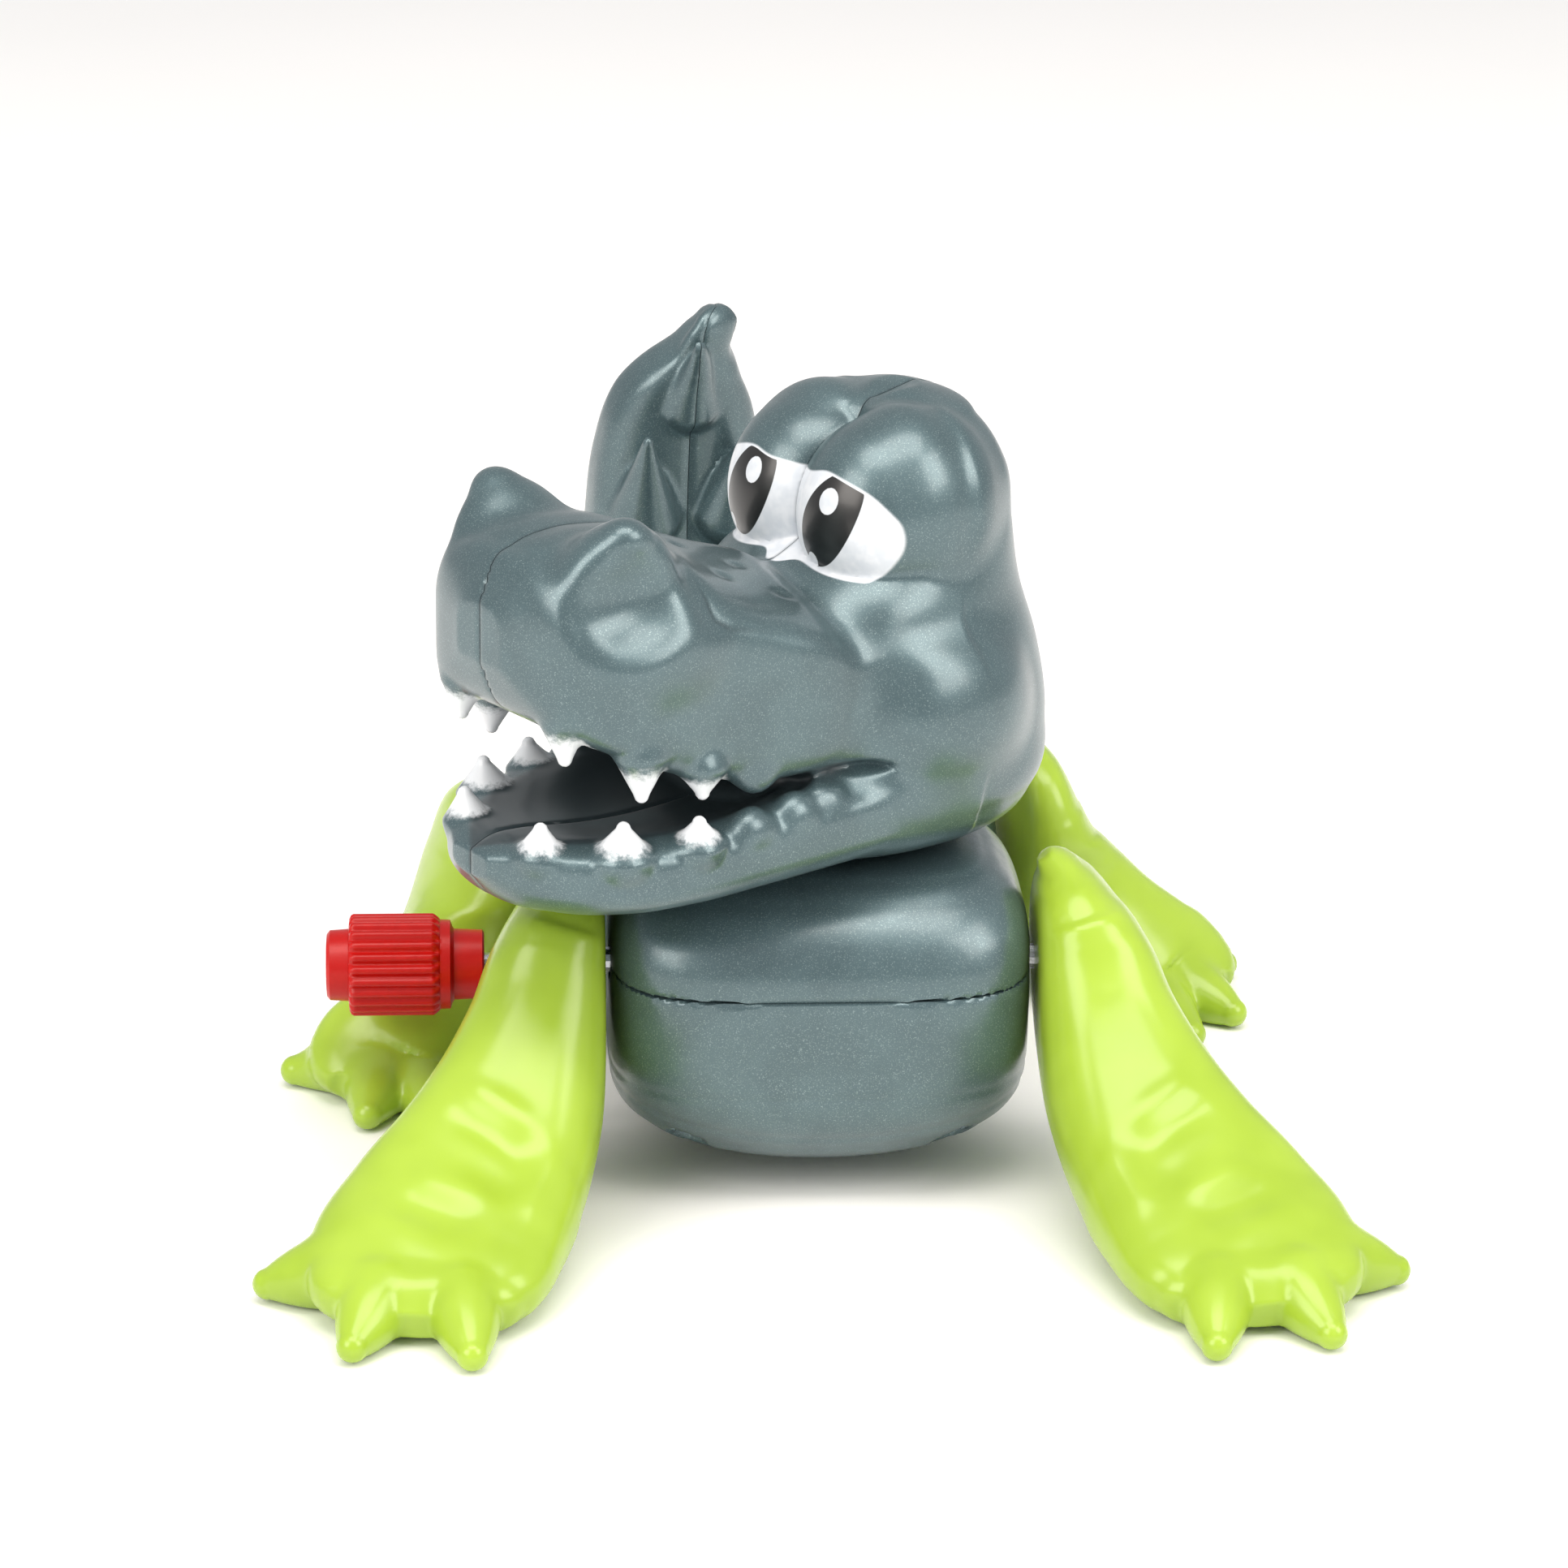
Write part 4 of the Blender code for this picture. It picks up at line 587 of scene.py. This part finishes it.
eyeShapes = {
    # left and up, in mm on the near side of the face
    "white": ((-1.0, 50.4), (-1.2, 53.4), (-0.8, 56.3), (2.6, 57.2), (4.8, 57.6), (7.6, 56.8), (9.1, 55.7),
              (10.1, 54.0),
              (10.0, 51.9), (8.6, 49.8), (6.2, 48.4), (3.4, 49.2)),
    "pupilHalf": (2.45, 3.9),
    # pupil's middle and lean, then its glint and its notch: left, up, half wide, half high
    "near": {"pupil": (5.3, 54.0), "lean": 0.30, "spots": ((5.5, 55.6, 0.85, 1.0), (3.7, 50.6, 0.55, 0.6))},
    "far": {"pupil": (4.4, 54.2), "lean": -0.26, "spots": ((3.7, 55.9, 0.78, 1.0), (6.5, 51.2, 0.5, 0.6))},
}


# Signed distances and shares for the painted eyes and teeth, the painted shade inside the mouth and in the dimples,
# and the dark joint lines, worked out at the points.
def headPaint(item, local, sign):
    left, ahead, up = local[:, 0] * sign, local[:, 1], local[:, 2]
    near = np.stack([left, ahead, up], -1)
    shapes = eyeShapes["near" if sign > 0 else "far"]
    offDome = np.abs(ellipsoid(near, *head["eye"])) - 0.45 - bell(left, 1.4) * 2.2
    white = outlineDistance(left, up, roundedOutline(eyeShapes["white"]))
    white = np.maximum(np.maximum(white, offDome), -0.5 - ahead)
    middle, lean = shapes["pupil"], shapes["lean"]
    halfWide, halfHigh = eyeShapes["pupilHalf"]
    across = (left - middle[0] - lean * (up - middle[1])) / halfWide
    size = np.hypot(across, (up - middle[1]) / halfHigh)
    pupil = np.maximum((size - 1) * halfWide, white + 0.15)
    for spotLeft, spotUp, half, tall in shapes["spots"]:
        spot = (np.hypot((left - spotLeft) / half, (up - spotUp) / tall) - 1) * half
        pupil = np.maximum(pupil, -spot)
    addPointValues(item, "eyeWhite", white)
    addPointValues(item, "pupil", pupil)
    paint = np.full(len(left), -9.0)
    for toothLeft, toothAhead, root, tip, radius in head["upperTeeth"] + head["lowerTeeth"]:
        t = (up - root) / (tip - root)
        off = np.hypot(left - toothLeft, ahead - toothAhead)
        share = np.minimum(t, 1.0) * 1.3 + 0.08 - np.maximum(off - radius * 0.9, 0) * 1.0
        paint = np.maximum(paint, np.where((off < radius * 1.7) & (t > -0.6) & (t < 1.35), share, -9))
    addPointValues(item, "toothPaint", paint)
    # painted shade inside the mouth: points within the lips' edge and between their heights are darkened, fading in
    # over 0.9 mm past the edge and towards the back
    edge = curveAt(ahead, (-5, 6, 14, 20, 25, 29, 31.6, 33.2), (12, 11.0, 10.4, 9.6, 8.0, 5.6, 2.8, 0.4))
    shade = np.clip((edge - left) / 0.9, 0, 1) * np.clip((ahead - 4) / 3, 0, 1) * ((up < 42.2) & (up > 31.0))
    addPointValues(item, "mouthShade", shade * 0.9)
    # dark joint lines at the seam and the face plate's edge; the dimples are darkened as painted shade
    line = np.maximum(bell(left, 0.13) * 0.5, bell(nearPath(near, head["plateLine"]), 0.24) * 0.6)
    for spot, across, along in head["dimples"]:
        off = np.hypot((left - spot[0]) / across, (ahead - spot[1]) / along)
        line = np.maximum(line, bell(off, 1.0) * (up > 49) * 0.35)
    addPointValues(item, "crease", line)


def makeHead():
    seam = head["seam"]
    points, quads = skinOfField(headField, (0, -20, 26), (18, 35, 64), head["step"], (0, seam))
    for sign, side in ((1, "left"), (-1, "right")):
        local, faces = (points, quads) if sign > 0 else mirroredSkin(points, quads)
        # drawn with +Y ahead: turned so that ahead is -Y, then by the head's own turn
        flipped = local * np.array([1.0, -1, 1])
        placed = turnedPlace(flipped, neckAxis, head["turn"])
        made = meshObject(f"head_skin_{side}", placed, faces[:, ::-1], paintedPearl)
        headPaint(made, local, sign)
        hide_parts(f"head_{side}_half")
        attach(made, "head")
    print("head", len(quads) * 2, "quads")


makeHead()


# Front legs, drawn about the front body's origin

frontLeg = {
    "face": 16.8, "sole": 0.02, "rim": 0.5, "power": 2.5, "step": 0.34,
    # middle, half outward, half deep
    "stations": ((17.6, -5.0, 26.0, 0.9, 1.2), (18.3, -5.0, 25.2, 1.6, 2.8), (18.9, -5.1, 24.0, 2.5, 5.0),
                 (19.9, -5.6, 21.2, 3.9, 6.9), (20.9, -7.2, 18.0, 4.8, 7.4), (22.0, -11.0, 14.0, 5.6, 6.7),
                 (23.6, -15.8, 10.4, 6.7, 5.8), (25.8, -20.8, 7.4, 7.9, 4.9), (28.2, -25.4, 5.2, 8.9, 4.3),
                 (30.1, -29.6, 3.9, 9.3, 3.7), (31.3, -33.2, 3.0, 8.5, 3.1), (31.9, -35.8, 2.4, 6.6, 2.4),
                 (32.1, -37.2, 2.0, 3.4, 1.3)),
    "toes": (((37.2, -29.8, 2.9), (42.4, -29.0, 1.45)), ((34.0, -34.2, 2.8), (35.9, -39.6, 1.4)),
             ((27.9, -35.0, 2.7), (27.2, -41.2, 1.4))),
    "toeRadii": (3.0, 1.2), "toeBow": 0.3, "toeFillet": 0.4,
    # folds in the skin, as seen from above: from, to, how high, how wide
    "folds": (((27.4, -20.6), (22.6, -23.6), 0.3, 1.1), ((31.4, -26.6), (26.2, -29.2), 0.36, 1.4),
              ((35.0, -29.4), (29.6, -33.6), 0.18, 1.2), ((20.4, -25.0), (23.2, -30.0), 0.3, 1.6)),
}


# Each fold is a ridge with a hollow ahead of it: h (exp(-(d/w)^2) - 0.9 exp(-((d - 1.7 w)/w)^2)), where d is how
# far ahead of the fold's line a point is, faded past the line's ends.
def foldsOf(p, folds):
    total = 0.0
    for (x0, y0), (x1, y1), height, width in folds:
        length = math.hypot(x1 - x0, y1 - y0)
        ux, uy = (x1 - x0) / length, (y1 - y0) / length
        along = (p[..., 0] - x0) * ux + (p[..., 1] - y0) * uy
        ahead = -(p[..., 0] - x0) * uy + (p[..., 1] - y0) * ux
        fade = 1 / (1 + np.exp(-along / 0.5)) / (1 + np.exp((along - length) / 0.5))
        total = total + height * fade * (bell(ahead, width) - 0.9 * bell(ahead - 1.7 * width, width))
    return total


def frontLegField(p):
    leg = frontLeg
    shape = sweptLimb(p, leg["stations"], leg["power"])
    shape = shape - foldsOf(p, leg["folds"]) * np.clip((p[..., 2] - 2.0) / 2.0, 0, 1)
    for root, tip in leg["toes"]:
        shape = smoothUnion(shape, horn(p, root, tip, *leg["toeRadii"], leg["toeBow"]), leg["toeFillet"])
    shape = smoothCut(shape, p[..., 0] - leg["face"], leg["rim"])
    return smoothCut(shape, p[..., 2] - leg["sole"], leg["rim"])


def makeFrontLegs():
    points, quads = skinOfField(frontLegField, (16, -44, -0.5), (45, 3, 27), frontLeg["step"])
    for sign, side in ((1, "left"), (-1, "right")):
        local, faces = (points, quads) if sign > 0 else mirroredSkin(points, quads)
        made = meshObject(f"front_leg_skin_{side}", local + bodyOrigin, faces, limePlastic)
        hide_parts(f"front_leg_{side}")
        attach(made, "front_legs")
    print("front legs", len(quads) * 2, "quads")


makeFrontLegs()


# Rear body, tail and legs, drawn about the waist with +Y back

rear = {
    "turn": 15.0, "step": 0.4, "legStep": 0.36, "seam": 0.03, "tipLean": 2.3, "power": 2.9, "legPower": 2.3,
    "halfWide": 21.5, "under": 2.4, "legFace": 21.9, "legSole": 0.02,
    # slot for the front body's tongue: height, half its height, how far back, half its width
    "slot": (9.8, 2.5, 4.2, 5.6),
    # middle, half wide, half deep
    "path": ((0, -1.6, 10.2, 3.0, 3.6), (0, 1.0, 10.8, 9.4, 7.0), (0, 4.6, 11.6, 15.6, 8.8), (0, 9.5, 12.1, 20.6, 9.6),
             (0, 15.5, 12.3, 21.4, 9.8), (0, 22.0, 12.4, 19.8, 9.6), (0, 28.0, 13.4, 14.8, 8.6),
             (0, 32.6, 16.4, 11.0, 7.2),
             (0, 35.6, 21.4, 8.8, 5.8), (0, 37.0, 29.2, 8.0, 4.7), (0, 37.0, 37.1, 7.7, 4.4), (0, 36.2, 43.5, 7.2, 4.0),
             (0, 35.0, 48.4, 6.0, 3.4), (0, 34.0, 51.2, 4.4, 2.9), (0, 33.2, 53.2, 2.7, 2.3), (0, 32.4, 55.2, 1.9, 1.8),
             (0, 32.2, 55.9, 1.3, 1.3)),
    "fingerTip": ((0, 32.35, 54.9), (1.95, 1.9, 2.0)),
    "spikes": (((0, 33.0, 48.4), (0.0, 29.3, 54.1), 2.9), ((3.7, 33.4, 38.4), (4.6, 29.3, 46.0), 3.2),
               ((3.6, 34.0, 29.8), (4.5, 29.3, 36.8), 3.0)),
    "legStations": ((22.9, 12.0, 22.9, 1.2, 3.0), (23.5, 12.0, 20.8, 2.4, 6.4), (24.3, 12.0, 16.6, 3.6, 8.4),
                    (25.3, 11.4, 12.4, 4.6, 8.4), (27.1, 9.8, 8.8, 5.4, 7.2), (30.1, 7.4, 5.8, 5.6, 5.6),
                    (33.1, 4.8, 3.8, 6.0, 4.4), (35.3, 3.0, 2.6, 6.0, 3.2), (36.3, 0.8, 2.0, 4.0, 1.6)),
    "toes": (((36.0, 5.5, 2.0), (41.2, 7.5, 1.35)), ((35.6, 1.6, 2.0), (37.7, -2.9, 1.35)),
             ((32.0, 2.2, 2.1), (32.5, -6.3, 1.35))),
    "toeRadii": (2.9, 1.25), "toeBow": 0.2,
}


def rearField(p):
    q = np.stack([np.abs(p[..., 0]), p[..., 1], p[..., 2]], -1)
    shape = smoothUnion(sweptLimb(q, rear["path"], rear["power"]), ellipsoid(q, *rear["fingerTip"]), 0.4)
    for root, tip, radius in rear["spikes"]:
        shape = smoothUnion(shape, horn(q, root, tip, radius, 0.45, -0.15), 0.5)
    shape = shape + 0.1 * bell(q[..., 0], 0.24)
    shape = smoothCut(shape, rear["halfWide"] - q[..., 0], 1.0)
    at, half, back, wide = rear["slot"]
    slot = np.maximum(np.abs(p[..., 2] - at) - half, np.maximum(p[..., 1] - back, q[..., 0] - wide))
    shape = np.maximum(shape, -slot)
    return smoothCut(shape, p[..., 2] - rear["under"], 1.0)


def rearLegField(p):
    shape = sweptLimb(p, rear["legStations"], rear["legPower"])
    for root, tip in rear["toes"]:
        shape = smoothUnion(shape, horn(p, root, tip, *rear["toeRadii"], rear["toeBow"]), 0.9)
    shape = smoothCut(shape, p[..., 0] - rear["legFace"], 0.5)
    return smoothCut(shape, p[..., 2] - rear["legSole"], 0.5)


def makeRear():
    points, quads = skinOfField(rearField, (0, -3, 1.5), (22.5, 44, 58), rear["step"], (0, rear["seam"]))
    legPoints, legQuads = skinOfField(rearLegField, (21, -9, -0.5), (44, 22, 24.5), rear["legStep"])
    for sign, side in ((1, "left"), (-1, "right")):
        for name, node, material, local, faces in (
                ("rear_skin", f"rear_{side}_half", pearlGrey, points, quads),
                ("rear_leg_skin", f"rear_leg_{side}", limePlastic, legPoints, legQuads)):
            if sign < 0:
                local, faces = mirroredSkin(local, faces)
            # the tail's tip leans to the left of the toy
            lean = np.clip((local[:, 2] - 49.5) / 6, 0, 1) ** 1.5 * np.clip((local[:, 1] - 29.5) / 2.5, 0, 1)
            local = local + np.outer(lean * rear["tipLean"], (1, 0, 0))
            made = meshObject(f"{name}_{side}", turnedPlace(local, waistAxis, rear["turn"]), faces, material)
            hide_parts(node)
            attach(made, "rear")
    print("rear", len(quads) * 2, "quads and legs", len(legQuads) * 2)


makeRear()


# Front body shells

shells = {
    "step": 0.36, "wall": 1.4, "seamAt": 18.0, "gap": 0.05, "top": 26.6, "bottom": 2.4,
    # height, half wide, front, back
    "levels": ((2.4, 8.6, 8.0, 7.2), (2.8, 10.8, 9.9, 8.8), (3.6, 13.0, 11.7, 9.8), (5.2, 15.1, 13.5, 10.9),
               (7.2, 16.2, 14.8, 11.7), (9.0, 16.5, 15.4, 12.0), (12, 16.5, 15.6, 12.0), (18, 16.5, 15.5, 12.0),
               (20.5, 16.4, 15.1, 11.9), (22.6, 15.9, 14.0, 11.4), (24.4, 14.7, 12.1, 10.3), (25.6, 13.2, 10.0, 8.9),
               (26.3, 11.6, 7.8, 7.0), (26.6, 9.6, 5.4, 5.2)),
    # height and squareness of the plan there
    "corners": ((2.4, 2.2), (5.0, 2.4), (8.0, 3.0), (12.0, 4.0), (27.0, 4.0)),
    # two faint moulded lines across the belly: height and how much it rises towards the sides
    "belly": ((9.9, 0.0), (6.1, 0.009)), "screws": ((10.1, -10.0), (10.1, 7.2)),
    # screw posts and the wells in them: radius and top; bores: their place, then radius
    "post": (2.5, 9.5), "well": (1.65, 8.0),
    "shaft": (-6.0, 18.0, 1.25), "stem": (4.0, 13.7, 1.15), "neck": (-0.5, 4.4),
    # tongue that the waist pin goes through
    "tongue": {"at": 9.8, "half": 1.8, "wide": 3.2, "from": 11.2, "pin": 15, "bore": 1.25},
}


# Rounded rectangle whose half width, front and back follow the levels, each less the inset.
def bodySolid(p, inset):
    rows = np.array(shells["levels"])
    z = p[..., 2]
    half, front, back = (curveAt(z, rows[:, 0], rows[:, k]) - inset for k in (1, 2, 3))
    corners = np.array(shells["corners"])
    power = np.interp(z, corners[:, 0], corners[:, 1])
    skin = squareness(p[..., 0], p[..., 1] - (back - front) / 2, half, (back + front) / 2, power)
    skin = smoothCut(skin, shells["top"] - inset - z, 0.9)
    return smoothCut(skin, z - shells["bottom"] - inset, 0.5)


# The body's solid with a smaller one taken out of it, cut at the seam and bored.
def shellField(p, upper):
    side, z = np.abs(p[..., 0]), p[..., 2]
    outer = bodySolid(p, 0.0)
    for at, rise in shells["belly"]:
        drop = z - at - rise * p[..., 0] ** 2
        outer = outer + 0.1 * bell(drop, 0.4) * (p[..., 1] < 0)
    shape = smoothCut(outer, bodySolid(p, shells["wall"]), 0.3)
    half = shells["gap"] / 2
    at, up, radius = shells["shaft"]
    shaft = np.hypot(p[..., 1] - at, z - up) - radius
    shape = np.maximum(shape, -np.maximum(shaft, 12 - side))
    if upper:
        at, radius = shells["neck"]
        neck = np.maximum(np.hypot(p[..., 0], p[..., 1] - at) - radius, 22 - z)
        return smoothCut(smoothCut(shape, neck, 0.2), z - shells["seamAt"] - half, 0.12)
    at, up, radius = shells["stem"]
    stem = np.hypot(p[..., 1] - at, z - up) - radius
    shape = np.maximum(shape, -np.maximum(stem, p[..., 0] + 12))
    for x, y in shells["screws"]:
        off = np.hypot(side - x, p[..., 1] - y)
        post, well = (np.maximum(off - radius, z - top) for radius, top in (shells["post"], shells["well"]))
        shape = smoothUnion(shape, np.maximum(post, outer + 0.05), 0.2)
        shape = smoothCut(shape, well, 0.15)
    part = shells["tongue"]
    fromPin = np.hypot(p[..., 0], p[..., 1] - part["pin"])
    tongue = np.maximum(side - part["wide"], part["from"] - p[..., 1])
    tongue = np.maximum(np.abs(z - part["at"]) - part["half"], tongue)
    tongue = np.maximum(tongue, np.where(p[..., 1] > part["pin"], fromPin - part["wide"], -9))
    tongue = np.maximum(tongue, part["bore"] - fromPin)
    shape = np.minimum(shape, tongue)
    return smoothCut(shape, shells["seamAt"] - half - z, 0.12)


def makeShells():
    for name, node, low, high, upper in (
            ("upper_shell_skin", "body_upper_shell", 17.6, 27.0, True),
            ("lower_shell_skin", "body_lower_shell", 2.0, 18.4, False)):
        points, quads = skinOfField(lambda p: shellField(p, upper), (-17, -16.2, low), (17, 18.8, high), shells["step"])
        made = meshObject(name, points + bodyOrigin, quads, pearlGrey)
        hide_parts(node)
        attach(made, "front_body")
        print(name, len(quads), "quads")


makeShells()


# Winding knob: a profile turned about the stem, its grip ribbed

knob = {
    "ribs": 24, "ribDepth": 0.34, "axis": (4.0, 13.7),
    # distance out from the middle of the body, radius, share of the ribs' depth
    "profile": ((34.0, 0.0, 0), (34.0, 1.15, 0), (26.2, 1.15, 0), (26.2, 2.5, 0), (26.35, 2.75, 0), (28.6, 2.85, 0),
                (28.75, 3.1, 0), (28.9, 3.55, 0), (29.7, 3.6, 0), (29.8, 3.75, 0.3), (30.1, 4.0, 1), (30.3, 4.1, 1),
                (33, 4.1, 1), (36.6, 4.1, 1), (36.8, 4.0, 1), (36.95, 3.7, 0.5), (37.0, 3.2, 0), (37.0, 2.9, 0),
                (38.5, 2.8, 0), (38.75, 2.5, 0), (38.8, 1.9, 0), (38.8, 0.0, 0)),
}


# radius(out, angle) = profile(out) - share(out) * depth * (1 - cos(ribs * angle)) / 2, softened to round tops.
def makeKnob():
    rows = np.array(knob["profile"])
    place = np.concatenate([[0], np.cumsum(np.hypot(np.diff(rows[:, 0]), np.diff(rows[:, 1])))])
    at = np.unique(np.concatenate([place, np.linspace(place[1], place[-2], 90)]))
    out, radius, share = (np.interp(at, place, rows[:, k]) for k in range(3))
    angle = np.linspace(0, 2 * math.pi, knob["ribs"] * 12, endpoint=False)
    wave = ((1 - np.cos(knob["ribs"] * angle)) / 2) ** 1.6
    r = radius[:, None] - share[:, None] * knob["ribDepth"] * wave[None, :]
    y = knob["axis"][0] + r * np.cos(angle)
    z = knob["axis"][1] + r * np.sin(angle)
    x = -np.repeat(out[:, None], len(angle), 1)
    points = np.stack([x, y, z], -1).reshape(-1, 3)
    rings, around = r.shape
    i = np.arange(rings - 1)[:, None]
    j = np.arange(around)[None, :]
    nxt = (j + 1) % around
    quads = np.stack([i * around + j, (i + 1) * around + j, (i + 1) * around + nxt, i * around + nxt], -1)
    quads = quads.reshape(-1, 4)
    made = meshObject("knob_skin", points + bodyOrigin, quads, redPlastic, 35)
    closePoles(made)
    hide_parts("winding_knob")
    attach(made, "winding")
    print("knob", len(quads), "quads")


makeKnob()


# Finishes of the works, which keep their own shapes

finishes = {
    "steel": ("winding_stem", "leg_shaft", "neck_screw", "neck_washer", "waist_pin", "escape_arbor", "output_arbor",
              "pallet_arbor", "frame_pillar_1", "frame_pillar_2", "frame_pillar_3", "frame_plate_left",
              "frame_plate_right", "belly_screw_1", "belly_screw_2", "belly_screw_3", "belly_screw_4", "escape_pallet"),
    "brass": ("ratchet_wheel",),
    "spring": ("mainspring", "ratchet_click"),
    "nylon": ("great_wheel", "output_gear", "crank_disc", "escape_wheel", "rocker_fork", "neck_spool"),
}
for finish, material in (("steel", steel), ("brass", brass), ("spring", springSteel), ("nylon", nylon)):
    for node in finishes[finish]:
        item = frame["nodes"][node]
        item.data.materials.clear()
        item.data.materials.append(material)
print("works finished")


# Floor, light and camera

studio = {
    # place and target in metres, size, power in watts
    "left_softbox": ((-0.44, -0.40, 0.40), (0, 0, 0.03), (0.4, 0.44), 3.0),
    "right_softbox": ((0.48, -0.34, 0.46), (0, 0, 0.03), (0.4, 0.44), 3.2),
    "top_softbox": ((0.0, -0.20, 0.76), (0, 0.02, 0.03), (0.66, 0.4), 4.5),
    "lightColour": "FFF8F1", "airColour": "F4F6F8", "airStrength": 0.58,
}


# Matt white sweep: flat, then a quarter turn up behind. z = R - R cos(t) past the bend.
def makeFloor():
    width = np.linspace(-3, 3, 2)
    flat = np.array([[-3.0, 0.0], [2.2, 0.0]])
    bend = [(2.2 + 0.8 * math.sin(t), 0.8 - 0.8 * math.cos(t)) for t in np.linspace(0.1, math.pi / 2, 14)]
    line = np.vstack([flat, np.array(bend), [[3.0, 3.0]]]) * 1000
    points = np.array([(x * 1000, y, z) for y, z in line for x in width])
    rows = np.arange(len(line) - 1) * 2
    quads = np.stack([rows, rows + 1, rows + 3, rows + 2], 1)
    material, tree, shader, place = newMaterial("matt_white_board", {"Roughness": 0.6, "IOR": 1.3})
    tone = blendColours(tree, noise(tree, place, 60.0), hexColour("F6F6F6"), hexColour("F9F9F9"))
    tree.links.new(tone, shader.inputs["Base Color"])
    floor = meshObject("floor", points, quads, material)


# Rectangle of light at a place, facing a target.
def softbox(name, place, target, size, power):
    data = bpy.data.lights.new(name, "AREA")
    data.shape = "RECTANGLE"
    data.size, data.size_y = size
    data.energy = power
    data.color = hexColour(studio["lightColour"])[:3]
    item = bpy.data.objects.new(name, data)
    bpy.context.scene.collection.objects.link(item)
    item.location = place
    item.rotation_euler = (Vector(target) - Vector(place)).to_track_quat("-Z", "Y").to_euler()


makeFloor()
for name in ("left_softbox", "right_softbox", "top_softbox"):
    softbox(name, *studio[name])
world = bpy.data.worlds.new("studio")
bpy.context.scene.world = world
world.use_nodes = True
world.node_tree.nodes["Background"].inputs[0].default_value = hexColour(studio["airColour"])
world.node_tree.nodes["Background"].inputs[1].default_value = studio["airStrength"]
bpy.context.scene.view_settings.view_transform = "Standard"

# camera a little left of the middle and above
viewpoint = {"azimuth": -3.5, "elevation": 20.0, "roll": 0.8, "distance": 0.399, "lens": 116.7,
             "target": (-0.0026, toyShift / 1000, 0.0303)}
azimuth, elevation = math.radians(viewpoint["azimuth"]), math.radians(viewpoint["elevation"])
back = Vector((math.sin(azimuth) * math.cos(elevation), -math.cos(azimuth) * math.cos(elevation), math.sin(elevation)))
camera = bpy.data.objects.new("camera", bpy.data.cameras.new("camera"))
bpy.context.scene.collection.objects.link(camera)
bpy.context.scene.camera = camera
camera.data.lens = viewpoint["lens"]
camera.data.sensor_width = 36
camera.location = Vector(viewpoint["target"]) + back * viewpoint["distance"]
turn = (-back).to_track_quat("-Z", "Y").to_matrix().to_4x4() @ Matrix.Rotation(math.radians(viewpoint["roll"]), 4, "Z")
camera.rotation_euler = turn.to_euler()
camera.data.clip_start, camera.data.clip_end = 0.01, 20
print("floor, light and camera set")
